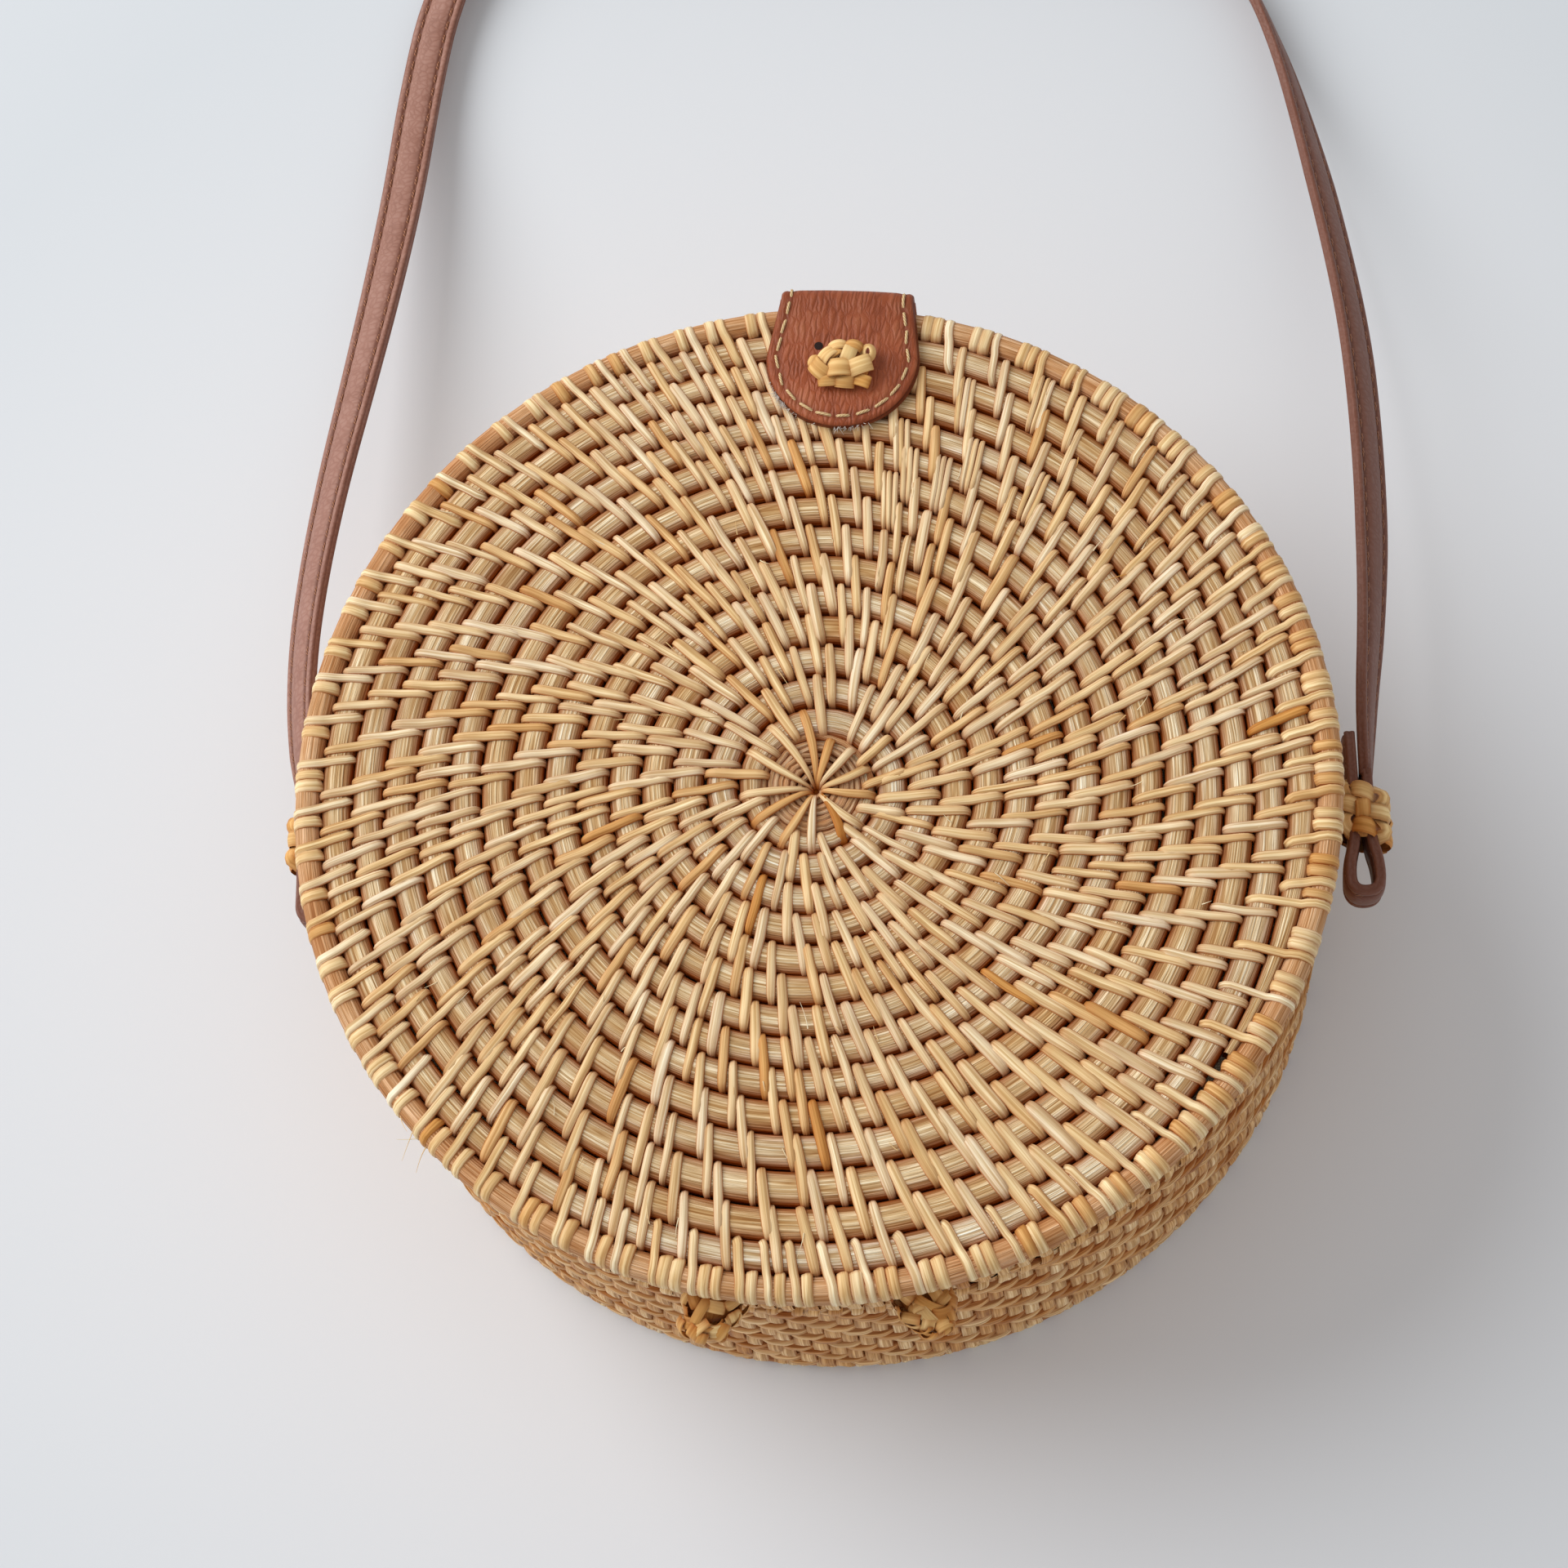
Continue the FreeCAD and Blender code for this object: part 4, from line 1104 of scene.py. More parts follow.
@dataclass
class MouthBinding:
    """Overcast strips round a mouth's edge and the hoop inside it."""

    label: str
    body: Body
    edge: float
    away: int
    finish: Material
    count: int = 150
    width: float = 2.3
    hoop: Pair = (94.4, 2.4)
    sway: float = 1.4
    radius: float = 96.0
    seed: int = 21

    def build(self) -> None:
        """Builds the strips."""
        rng = seeded(self.seed)
        path = np.array([(96.7, 5.6), (97.2, 4.6), (97.35, 2.4), (97.1, 0.75), (96.2, 0.1), (94.2, 0.05),
                         (92.4, 0.5), (91.4, 1.6), (91.4, 2.7), (92.2, 3.9), (93.8, 4.6)])
        along = len(path)
        angle = TURN * np.arange(self.count) / self.count + rng.normal(0, 0.004, self.count)
        turn = angle[:, None] + np.linspace(0, self.sway, along)[None] / self.radius
        lines = around(path[:, 0], turn, self.edge + self.away * path[:, 1])
        outs = unit(around(path[:, 0] - self.hoop[0], turn, self.away * (path[:, 1] - self.hoop[1])))
        profile = np.array([(-0.5, -0.05), (-0.3, 0.2), (0.3, 0.2), (0.5, -0.05)])
        grids = swept(lines, outs, self.width * (1 + rng.normal(0, 0.07, self.count)), profile)
        patch = PatchMesh(self.label)
        maps = strip_map(16.0, along, self.width, 4, rng.random(self.count))
        patch.add(grids, maps, rng.beta(1.8, 2.2, self.count))
        settle(patch.build(self.finish), self.body, Slot.WALL)


@dataclass(frozen=True)
class KnotFold:
    """One fold of a knot's flat strip, in the knot's own frame."""

    place: Point
    out: Point
    ahead: Point
    length: float
    width: float
    tint: float


def flat_fold(x: float, y: float, turn: float, length: float, width: float, top: float,
              tint: float) -> KnotFold:
    """A fold at x, y and a height of a flat knot, turned by degrees, leaning away from its middle."""
    ahead = (math.cos(math.radians(turn)), math.sin(math.radians(turn)), 0.0)
    return KnotFold((x, y, top), (0.13 * x, 0.13 * y, 1.0), ahead, length, width, tint)


# Each fold: x, y, turn in degrees, length, width, top height and tint; higher folds get paler tints, partly a
# painted highlight, and tints also differ fold by fold
TAB_FOLDS = tuple(flat_fold(*fold) for fold in (
    (-2.5, -3.9, 8, 3.9, 2.5, 2.2, 0.38), (1.2, -4.1, -2, 3.9, 2.5, 2.2, 0.3),
    (4.7, -3.5, -16, 3.9, 2.5, 2.1, 0.5), (-1.2, 1.9, 34, 4.0, 2.6, 3.6, 0.45),
    (-4.4, -1.9, -42, 4.6, 3.3, 3.2, 0.35), (-0.1, -1.7, 6, 5.0, 3.5, 4.0, 0.3),
    (4.4, -0.8, 24, 5.2, 3.5, 3.7, 0.15), (-2.7, 1.2, 48, 4.4, 2.9, 3.9, 0.2),
    (-0.8, 3.5, 14, 3.9, 2.7, 3.4, 0.25), (2.5, 3.7, -12, 3.6, 2.7, 3.4, 0.4),
    (1.8, 1.5, 76, 3.6, 2.9, 4.2, 0.0), (-5.6, 0.2, 70, 2.6, 2.0, 2.6, 0.3),
))


def crumpled_folds(seed: int, size: Point = (6.4, 4.5, 7.6)) -> tuple[KnotFold, ...]:
    """Folds of a dry, crumpled knot, all over a dome.

    Args:
        seed: Start of the random source.
        size: Half length, half width and rise of the dome.

    Returns:
        The folds.
    """
    rng = seeded(seed)
    folds = []
    for tilt, count in ((86, 13), (62, 11), (38, 8), (14, 4)):
        for index in range(count):
            down = math.radians(tilt + rng.normal(0, 7))
            way = TURN * (index + 0.5 * (count % 2) + rng.normal(0, 0.12)) / count
            aim = np.array([math.sin(down) * math.cos(way), math.sin(down) * math.sin(way), math.cos(down)])
            side = unit(np.cross(UP, aim))
            over = np.cross(aim, side)
            spin = (0.8 if index % 2 else -0.75) + rng.normal(0, 0.3)
            ahead = math.cos(spin) * side + math.sin(spin) * over
            out = unit(aim / np.array(size)) + 0.25 * rng.normal(0, 1, 3)
            place = aim * np.array(size) * (1.0 + rng.normal(0, 0.06))
            folds.append(KnotFold(tuple(place), tuple(out), tuple(ahead), rng.uniform(3.8, 5.4),
                                  rng.uniform(1.9, 2.9), rng.uniform(0.1, 0.75)))
    return tuple(folds)


@dataclass
class FoldedKnot:
    """Button folded of one flat strip, some of its loops left open."""

    label: str
    body: Body
    origin: Point
    along: Point
    out: Point
    node: str
    finish: Material
    folds: tuple[KnotFold, ...] = TAB_FOLDS
    loops: tuple[tuple[float, ...], ...] = ((5.2, 2.3, 2.5, 1.05, 1.5), (-0.5, 0.9, 2.6, 0.7, 0.8))
    heart: Point = (5.6, 4.1, 2.5)
    seed: int = 37
    bend: float = 1.25
    loop_width: float = 1.5

    def build(self) -> None:
        """Builds the folds, the loops and the heart below them, the heart painted part way to shade."""
        patch = PatchMesh(self.label)
        rng = seeded(self.seed)
        for fold in self.folds:
            self.add_fold(patch, fold, rng.random())
        for *middle, wide, tall in self.loops:
            self.add_loop(patch, np.array(middle), wide, tall)
        turn = np.linspace(0, TURN, 25)[None]
        rise = np.linspace(0, math.pi / 2, 7)[:, None]
        long, wide, tall = self.heart
        heart = joined(long * np.sin(rise) * np.cos(turn), wide * np.sin(rise) * np.sin(turn),
                       tall * np.cos(rise) ** 0.5)
        # The heart's colour is mixed part way to the painted shade
        patch.add(self.placed(heart)[None], strip_map(8.0, 7, 30.0, 25, np.zeros(1)), 0.6, painted_shades=0.45)
        settle(patch.build(self.finish), self.body, Slot.KNOT, self.node)

    def placed(self, points: Array) -> Array:
        """Turns and moves points about the knot's middle to the knot's place on the bag."""
        ex, ez = unit(np.array(self.along, float)), unit(np.array(self.out, float))
        return points @ np.stack([ex, np.cross(ez, ex), ez]) + np.array(self.origin)

    def strip(self, line: Array, outs: Array, width: float, profile: Array) -> Array:
        """Points of a strip along a line in the knot's own frame."""
        return swept(self.placed(line)[None], (self.placed(outs) - np.array(self.origin))[None],
                     np.array([width]), profile)

    def add_fold(self, patch: PatchMesh, fold: KnotFold, shift: float) -> None:
        """One fold, an arch of the flat strip that leans away from the knot's middle.

        Args:
            patch: Piece to add to.
            fold: The fold.
            shift: Place in the grain.
        """
        bend = np.linspace(-self.bend, self.bend, 13)
        out, ahead = unit(np.array(fold.out)), np.array(fold.ahead)
        along = fold.length / 2 * np.sin(bend) / math.sin(self.bend)
        drop = 0.42 * fold.length * (1 - np.cos(bend))
        line = np.array(fold.place) + along[:, None] * ahead - drop[:, None] * out
        profile = np.array([(-0.5, -0.16), (-0.45, 0.08), (0.0, 0.17), (0.45, 0.08), (0.5, -0.16)])
        grids = self.strip(line, out + np.sin(bend)[:, None] * ahead, fold.width, profile)
        # Painted shade towards both ends of the fold, where it bends under, and along its edges
        painted_shade = np.maximum(0.75 * np.abs(bend / self.bend)[:, None] ** 3, np.array([0.5, 0.05, 0, 0.05, 0.5]))
        maps = strip_map(fold.length * 1.4, 13, fold.width, 5, np.array([shift]))
        patch.add(grids, maps, fold.tint, painted_shades=painted_shade)

    def add_loop(self, patch: PatchMesh, middle: Array, wide: float, tall: float) -> None:
        """An open loop of the strip, standing on its edge and leaning out.

        Args:
            patch: Piece to add to.
            middle: Place of its middle.
            wide: Half its width.
            tall: Half its height.
        """
        turn = np.linspace(0, TURN, 21)
        ring = joined(wide * np.cos(turn), tall * np.sin(turn), 0.0)
        profile = np.array([(-0.5, -0.1), (-0.42, 0.12), (0.42, 0.12), (0.5, -0.1)])
        grids = self.strip(ring + middle, unit(ring) * 0.75 + UP, self.loop_width, profile)
        grids[:, -1] = grids[:, 0]
        maps = strip_map(9.0, 21, 2.0, 4, np.array([0.4]))
        # Painted shade, strongest along one edge of the loop
        patch.add(grids, maps, 0.15, painted_shades=np.array([0.1, 0.0, 0.2, 0.8]))


@dataclass
class LooseFibres:
    """Splinters that stand off the lid's strips, hairs at its rim and lint at the tongue's edge."""

    strips: Material
    lint: Material
    splinters: int = 70
    tufts: int = 90
    rim_radius: float = 98.6
    rim_height: float = 77.5
    tab_radius: float = 15.0
    tab_middle: float = 87.1
    splinter_width: float = 0.26
    lint_width: float = 0.17
    seed: int = 91

    def strands(self, label: str, starts: Array, ways: Array, curl: Array, thick: float, slot: Slot,
                finish: Material) -> None:
        """Thin bent strands of one kind.

        Args:
            label: Name of the piece.
            starts: Where each strand starts.
            ways: Direction and length of each strand.
            curl: Sideways bend of each strand.
            thick: Thickness.
            slot: Material slot.
            finish: Material.
        """
        share = np.linspace(0, 1, 7)[None, :, None]
        lines = starts[:, None] + ways[:, None] * share + curl[:, None] * share ** 2
        taper = thick * (1 - 0.75 * share[:, :, 0]) + np.zeros(lines.shape[:2])
        profile = np.array([(-0.5, 0.0), (0.0, 0.06), (0.5, 0.0), (0.0, -0.06)])
        patch = PatchMesh(label)
        rng = seeded(self.seed)
        maps = strip_map(4.0, 7, 1.0, 5, rng.random(len(starts)))
        grids = swept(lines, np.zeros_like(lines) + UP, taper, profile)
        patch.add(grids, maps, rng.beta(1.4, 3.0, len(starts)), closed=True)
        settle(patch.build(finish), Body.LID, slot)

    def build(self) -> None:
        """Builds all strands."""
        rng = seeded(self.seed)
        count = self.splinters
        radius = rng.uniform(18, 92, count)
        angle = rng.uniform(0, TURN, count)
        starts = around(radius, angle, rng.uniform(79.5, 80.1, count))
        aim = angle + rng.choice([0.0, math.pi], count) + rng.normal(0.3, 0.35, count)
        ways = around(rng.uniform(1.6, 4.6, count), aim, rng.uniform(0.1, 0.8, count))
        curl = rng.normal(0, 0.7, (count, 3)) * np.array([1, 1, 0.3])
        hairs = np.radians(np.array([219.0, 220.5, 221.5, 223.0, 224.0, 226.5, 231.0, 239.0]))
        count = len(hairs)
        roots = around(self.rim_radius, hairs, self.rim_height)
        aim = hairs + rng.normal(0.2, 0.7, count)
        hair_ways = around(rng.uniform(2.5, 5.0, count), aim, rng.normal(0.3, 0.5, count))
        hair_curl = rng.normal(0, 1.8, (count, 3))
        self.strands("lid_splinters", np.concatenate([starts, roots]), np.concatenate([ways, hair_ways]),
                     np.concatenate([curl, hair_curl]), self.splinter_width, Slot.COIL, self.strips)
        count = self.tufts
        near = count * 2 // 3
        edge = np.radians(np.concatenate([rng.normal(218, 9, near), rng.normal(276, 10, count - near)]))
        x, y = self.tab_radius * np.cos(edge), self.tab_middle + self.tab_radius * np.sin(edge)
        starts = on_tab(joined(x, y, rng.uniform(80.4, 81.3, count)))
        aim = edge + TAB_TURN + rng.normal(0, 0.6, count)
        ways = around(rng.uniform(0.4, 1.3, count), aim, rng.normal(0.1, 0.2, count))
        curl = rng.normal(0, 0.35, (count, 3))
        self.strands("tab_lint", starts, ways, curl, self.lint_width, Slot.TAB, self.lint)


@dataclass
class StrapKnot:
    """Woven barrel of rattan round both layers of a strap end, tied to the wall."""

    label: str
    side: int
    node: str
    finish: Material
    centre_x: float = 106.25
    centre_y: float = 4.4
    centre_z: float = 33.0
    half_x: float = 4.3
    half_z: float = 6.7
    half_y: float = 5.3
    bands: int = 3
    ribs: int = 8
    relief: float = 1.0
    rib_width: float = 3.0
    tie_width: float = 2.3
    tie_reach: Pair = (95.6, 102.6)
    slope: float = 0.0
    bulge: float = 0.0
    seed: int = 41

    def shell(self, turn: Array, out: Array, along: Array) -> Array:
        """Points on the barrel.

        Args:
            turn: Angle round the strap.
            out: Distance outside the barrel's surface.
            along: Place along the strap.

        Returns:
            Points in the bag's frame.
        """
        belly = 1 - 0.1 * (along / self.half_y) ** 2
        cos_turn, sin_turn = np.cos(turn), np.sin(turn)
        squared = (np.abs(cos_turn) ** 3 + np.abs(sin_turn) ** 3) ** (-1 / 3)
        x = (self.half_x * belly + out) * cos_turn * squared
        z = (self.half_z * belly + out) * sin_turn * squared
        x = x * np.where(self.side * x > 0, 1 + self.bulge, 1.0)
        y = self.centre_y + along - self.slope * self.side * x
        return joined(self.side * self.centre_x + x, y, self.centre_z + z)

    def build(self) -> None:
        """Builds bands, ribs and the ties to the wall."""
        rng = seeded(self.seed + self.side)
        patch = PatchMesh(self.label)
        spacing = 2 * self.half_y / self.bands
        turn = np.linspace(0, TURN, 4 * self.ribs + 1)[None]
        band = np.arange(self.bands)[:, None]
        wave = np.cos(turn * self.ribs / 2) * np.where(band % 2 == 0, 1.0, -1.0)
        along = (band - (self.bands - 1) / 2) * spacing + 0.15 * np.sin(3 * turn + band)
        lines = self.shell(turn, self.relief * wave - 0.25, along)
        self.add_weave(patch, lines, wave, 0.98 * spacing, 38.0, (0.38, 0.2), rng)
        step = np.linspace(-1, 1, 4 * self.bands + 1)[None]
        rib = np.arange(self.ribs)[:, None]
        along = step * self.half_y * 1.02
        place = along / spacing + (self.bands - 1) / 2
        wave = -np.cos(math.pi * place) * np.where(rib % 2 == 0, 1.0, -1.0)
        tuck = 1.5 * np.clip(np.abs(step) - 0.86, 0, 1) / 0.14
        lines = self.shell(TURN * rib / self.ribs, self.relief * wave - 0.25 - tuck, along)
        self.add_weave(patch, lines, wave, self.rib_width, 11.0, (0.34, 0.22), rng)
        self.add_ties(patch, rng)
        settle(patch.build(self.finish), Body.BODY, Slot.KNOT, self.node)

    def add_weave(self, patch: PatchMesh, lines: Array, wave: Array, width: float, length: float,
                  tint: Pair, rng: Generator) -> None:
        """Adds the bands or the ribs of the barrel's weave.

        Args:
            patch: Piece to add to.
            lines: Middle line of each strip.
            wave: 1 where a strip lies over the others, -1 where it lies under them.
            width: Width of the strips.
            length: Length of a strip, for its map.
            tint: Mean tint and its spread.
            rng: Random source.
        """
        count, along = lines.shape[:2]
        middle = np.array([self.side * self.centre_x, 0, self.centre_z])
        outs = unit((lines - middle) * np.array([1, 0, 1]))
        maps = strip_map(length, along, 2.6, 5, rng.random(count))
        # Painted shade where a strip passes under the others and along its edges
        patch.add(swept(lines, outs, np.full(count, width), BARREL_PROFILE), maps,
                  tint[0] + rng.normal(0, tint[1], count),
                  painted_shades=np.maximum(0.3 * (1 - wave)[:, :, None], 0.6 * STRIP_PAINTED_SHADE))

    def add_ties(self, patch: PatchMesh, rng: Generator) -> None:
        """Strips from the barrel into the wall.

        Args:
            patch: Piece to add to.
            rng: Random source.
        """
        places = np.array([(-2.2, 2.6), (0.0, 2.9), (2.2, 2.6), (-2.2, -2.6), (0.0, -2.9), (2.2, -2.6)])
        y, z = places[:, :1], places[:, 1:]
        reach = np.linspace(*self.tie_reach, 6)[None]
        rise = z * np.interp(reach, [95, 99, 103], [0.8, 0.75, 1.2])
        lines = joined(self.side * reach, self.centre_y + y, self.centre_z + rise)
        outs = joined(0.0, 0.0, np.sign(rise))
        count = len(places)
        grids = swept(lines, outs, np.full(count, self.tie_width), BARREL_PROFILE)
        patch.add(grids, strip_map(8.0, 6, self.tie_width, 5, rng.random(count)), np.full(count, 0.6))


@dataclass
class HingeRing:
    """Two-ply rattan ring that ties the lid's wall to the body's."""

    label: str
    side: int
    node: str
    finish: Material
    spacing: float = 37.6
    axis_y: float = -97.2
    axis_z: float = 58.0
    radius: float = 4.6
    ply: float = 1.05
    twists: int = 7
    twist_radius: float = 0.5

    def build(self) -> None:
        """Builds both plies."""
        turn = np.linspace(0, TURN, 85)[None]
        phase = self.twists * turn + np.array([[0.0], [math.pi]])
        radius = self.radius + self.twist_radius * np.cos(phase)
        x = self.side * self.spacing / 2 + self.twist_radius * np.sin(phase)
        lines = joined(x, self.axis_y + radius * np.cos(turn), self.axis_z + radius * np.sin(turn))
        outs = unit(joined(0 * x, np.cos(turn), np.sin(turn)))
        patch = PatchMesh(self.label)
        patch.add(swept(lines, outs, np.full(2, self.ply), oval(8, self.ply / 2)),
                  strip_map(30.0, 85, 3.3, 9, np.array([0.2, 0.7])), np.array([0.5, 0.75]), closed=True)
        settle(patch.build(self.finish), Body.BODY, Slot.KNOT, self.node)


@dataclass
class LeatherTab:
    """Leather tongue sewn on the lid and folded over the rim, its free end snapped to the body."""

    hide: Material
    yarn: Material
    # Near-black material for the painted shadow of the hole
    dark: Material
    sewn_y: float = 72.2
    fold_y: float = 99.2
    fold_z: float = 79.0
    top_z: float = 81.0
    fold_radius: float = 2.0
    fold_length: float = 3.14
    flap_length: float = 41.0
    sewn_radius: float = 14.9
    flap_radius: float = 13.1
    half_thickness: float = 1.0
    # Crowding of the mesh towards the edge, the pressed seam, the thinned edge and where the bend starts
    crowding: float = 0.92
    seam_inset: float = 1.9
    seam_depth: float = 0.34
    seam_width: float = 0.75
    edge_drop: float = 0.55
    edge_reach: float = 0.45
    edge_nick: float = 0.18
    fold_lead: float = 2.2
    stitch: float = 3.4
    stitch_gap: float = 0.5
    thread: float = 0.62
    hole: Pair = (-4.8, 88.9)
    hole_radius: float = 0.85
    hole_depth: float = 0.7
    seed: int = 51

    @property
    def length(self) -> float:
        """Whole length of the tongue."""
        return self.fold_y - self.sewn_y + self.fold_length + self.flap_length

    def half_width(self, along: Array) -> Array:
        """Half the tongue's width.

        Args:
            along: Distance from the sewn end.

        Returns:
            Half widths.
        """
        fold = self.fold_y - self.sewn_y
        straight = np.interp(along, [0, self.sewn_radius, fold, self.length],
                             [self.sewn_radius, self.sewn_radius, self.flap_radius, self.flap_radius])
        start = np.clip(self.sewn_radius - along, 0, self.sewn_radius)
        end = np.clip(along - (self.length - self.flap_radius), 0, self.flap_radius)
        first = np.sqrt(np.maximum(self.sewn_radius ** 2 - start ** 2, 0))
        last = np.sqrt(np.maximum(self.flap_radius ** 2 - end ** 2, 0))
        return np.where(start > 0, first, np.where(end > 0, last, straight))

    def edge_distance(self, across: Array, along: Array) -> Array:
        """Distance from the tongue's edge.

        Args:
            across: Distance from the middle line.
            along: Distance from the sewn end.

        Returns:
            Distances inwards.
        """
        side = self.half_width(along) - np.abs(across)
        start = self.sewn_radius - np.hypot(across, self.sewn_radius - along)
        last = self.length - self.flap_radius
        end = self.flap_radius - np.hypot(across, along - last)
        return np.where(along < self.sewn_radius, start, np.where(along > last, end, side))

    def bent(self, across: Array, along: Array, lift: Array) -> tuple[Array, Array]:
        """Places points of the flat tongue on its bent shape.

        Args:
            across: Distance from the middle line.
            along: Distance from the sewn end.
            lift: Distance outside the middle layer.

        Returns:
            Points and outward directions.
        """
        across, along, lift = np.broadcast_arrays(across, along, lift)
        flat = self.fold_y - self.sewn_y
        bend = np.clip((along - flat) / self.fold_length, 0, 1) * math.pi / 2
        top = np.minimum(along, flat)
        hang = np.maximum(along - flat - self.fold_length, 0)
        rise = self.top_z - self.fold_z
        y = self.sewn_y + top + self.fold_radius * np.sin(bend)
        z = self.fold_z + rise * np.cos(bend) - hang
        out = joined(0.0, np.sin(bend), np.cos(bend))
        return on_tab(np.stack([across, y, z], -1) + out * lift[..., None]), on_tab(out)

    def rows(self) -> Array:
        """Rows of the tongue's mesh.

        Returns:
            Their distances along the tongue.
        """
        quarter = np.linspace(0, math.pi / 2, 17)
        flat = self.fold_y - self.sewn_y
        start = self.sewn_radius * (1 - np.cos(quarter))
        end = self.length - self.flap_radius * (1 - np.cos(quarter[::-1]))
        fold = np.linspace(flat, flat + self.fold_length, 9)
        return np.concatenate([start, np.linspace(start[-1], flat, 12)[1:], fold[1:],
                               np.linspace(fold[-1], end[0], 20)[1:], end[1:]])

    def leather(self) -> None:
        """The tongue: two layers, pressed in along the seam."""
        along = self.rows()[:, None]
        half = np.maximum(self.half_width(along), 0.02)
        arc = self.crowding * math.pi / 2
        across = np.sin(np.linspace(-1, 1, 33) * math.pi / 2 * self.crowding)[None] / math.sin(arc) * half
        inset = np.maximum(self.edge_distance(across, along), 0)
        groove = self.seam_depth * np.exp(-((inset - self.seam_inset) / self.seam_width) ** 2)
        edge = self.edge_drop * np.exp(-inset / self.edge_reach)
        puff = 0.3 * np.clip(inset / 9, 0, 1) + 0.12 * np.clip(inset / 2, 0, 1) * np.clip(3 - inset, 0, 1)
        upper, _ = self.bent(across, along, self.half_thickness + puff - groove - edge)
        under = across[:, ::-1] * (half + 0.35) / half
        lower, _ = self.bent(under, along, -self.half_thickness + 0.3 * edge[:, ::-1])
        nick = np.full_like(half, -0.05)
        rim = np.maximum(half - self.edge_nick, 0.01)
        right, _ = self.bent(rim, along, nick)
        left, _ = self.bent(-rim, along, nick)
        grid = np.concatenate([upper, right, lower, left], axis=1)[None]
        back = 2 * half + 2 + np.abs(across + half)
        flat = np.concatenate([across, half + 1, back, 4 * half + 4, 4 * half + 5], axis=1)
        # Painted shade: darker in the pressed seam, at the thinned edge, towards the fold and on the cut
        # sides
        painted_fold_shade = 0.26 * np.clip((along - 10) / 16, 0, 1)
        side = np.full_like(half, 0.8)
        shade = np.concatenate([1.4 * groove + 0.5 * edge + painted_fold_shade, side, 0 * across, side], axis=1)
        patch = PatchMesh("tab_leather")
        patch.add(grid, joined(flat, along), 0.5, closed=True, painted_shades=shade[None])
        made = patch.build(self.hide)
        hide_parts("tab_top", "tab_fold", "tab_flap")
        self.bend_with_flap(made)

    def bend_with_flap(self, piece: Piece) -> None:
        """Notes a piece's size and bakes its transform into its mesh.

        Args:
            piece: The tongue or its sewing.
        """
        LOG.info("%s: %d faces on lid and flap", piece.name, len(piece.data.polygons))
        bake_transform(piece)

    def seam(self) -> tuple[Array, Array]:
        """Seam line round the tongue.

        Returns:
            Distances across and along for points close together.
        """
        radius = self.sewn_radius - self.seam_inset
        turn = np.linspace(math.pi, TURN, 200)
        start = np.stack([radius * np.cos(turn), self.sewn_radius + radius * np.sin(turn)], -1)
        last = self.length - self.flap_radius
        up = np.linspace(self.sewn_radius, last, 400)[1:-1]
        right = np.stack([self.half_width(up) - self.seam_inset, up], -1)
        radius = self.flap_radius - self.seam_inset
        turn = np.linspace(0, math.pi, 200)
        end = np.stack([radius * np.cos(turn), last + radius * np.sin(turn)], -1)
        left = right[::-1] * np.array([-1, 1])
        line = np.concatenate([start, right, end, left, start[:1]])
        return line[:, 0], line[:, 1]

    def sewing(self) -> None:
        """Cream saddle stitches round the tongue."""
        rng = seeded(self.seed)
        across, along = self.seam()
        far = np.concatenate([[0], np.cumsum(np.hypot(np.diff(across), np.diff(along)))])
        count = int(far[-1] / (self.stitch + self.stitch_gap))
        starts = np.arange(count) * far[-1] / count
        share = np.linspace(0, 1, 7)
        places = starts[:, None] + share[None] * self.stitch * (1 + rng.normal(0, 0.05, (count, 1)))
        drift = rng.normal(0, 0.12, (count, 1)) * (2 * share - 1)[None]
        x = np.interp(places % far[-1], far, across) + drift
        s = np.interp(places % far[-1], far, along)
        rise = np.interp(share, [0, 0.15, 0.5, 0.85, 1], [-0.9, -0.15, 0.05, -0.15, -0.9])
        lines, outs = self.bent(x, s, self.half_thickness + rise[None])
        patch = PatchMesh("tab_sewing")
        patch.add(swept(lines, outs, np.full(count, self.thread), oval(6, 0.36)),
                  strip_map(self.stitch, 7, 2.4, 7, rng.random(count)), 0.4, closed=True)
        made = patch.build(self.yarn)
        self.bend_with_flap(made)

    def painted_hole_shadow(self) -> None:
        """Punched hole beside the knot, shown as a near-black disc in the leather: a painted shadow for the
        hole's depth.
        """
        bpy.ops.object.select_all(action="DESELECT")
        place = tuple(MM * on_tab(np.array([*self.hole, self.top_z + self.half_thickness + 0.05])))
        bpy.ops.mesh.primitive_cylinder_add(vertices=20, radius=self.hole_radius * MM,
                                            depth=self.hole_depth * MM, location=place)
        made = bpy.context.object
        made.name = "tab_hole_painted_shadow"
        bpy.ops.object.transform_apply(location=True, rotation=True, scale=True)
        made.data.materials.append(self.dark)
        settle(made, Body.LID, Slot.TAB)

    def build(self) -> None:
        """Builds the tongue, its sewing and the painted shadow of its hole."""
        self.leather()
        self.sewing()
        self.painted_hole_shadow()


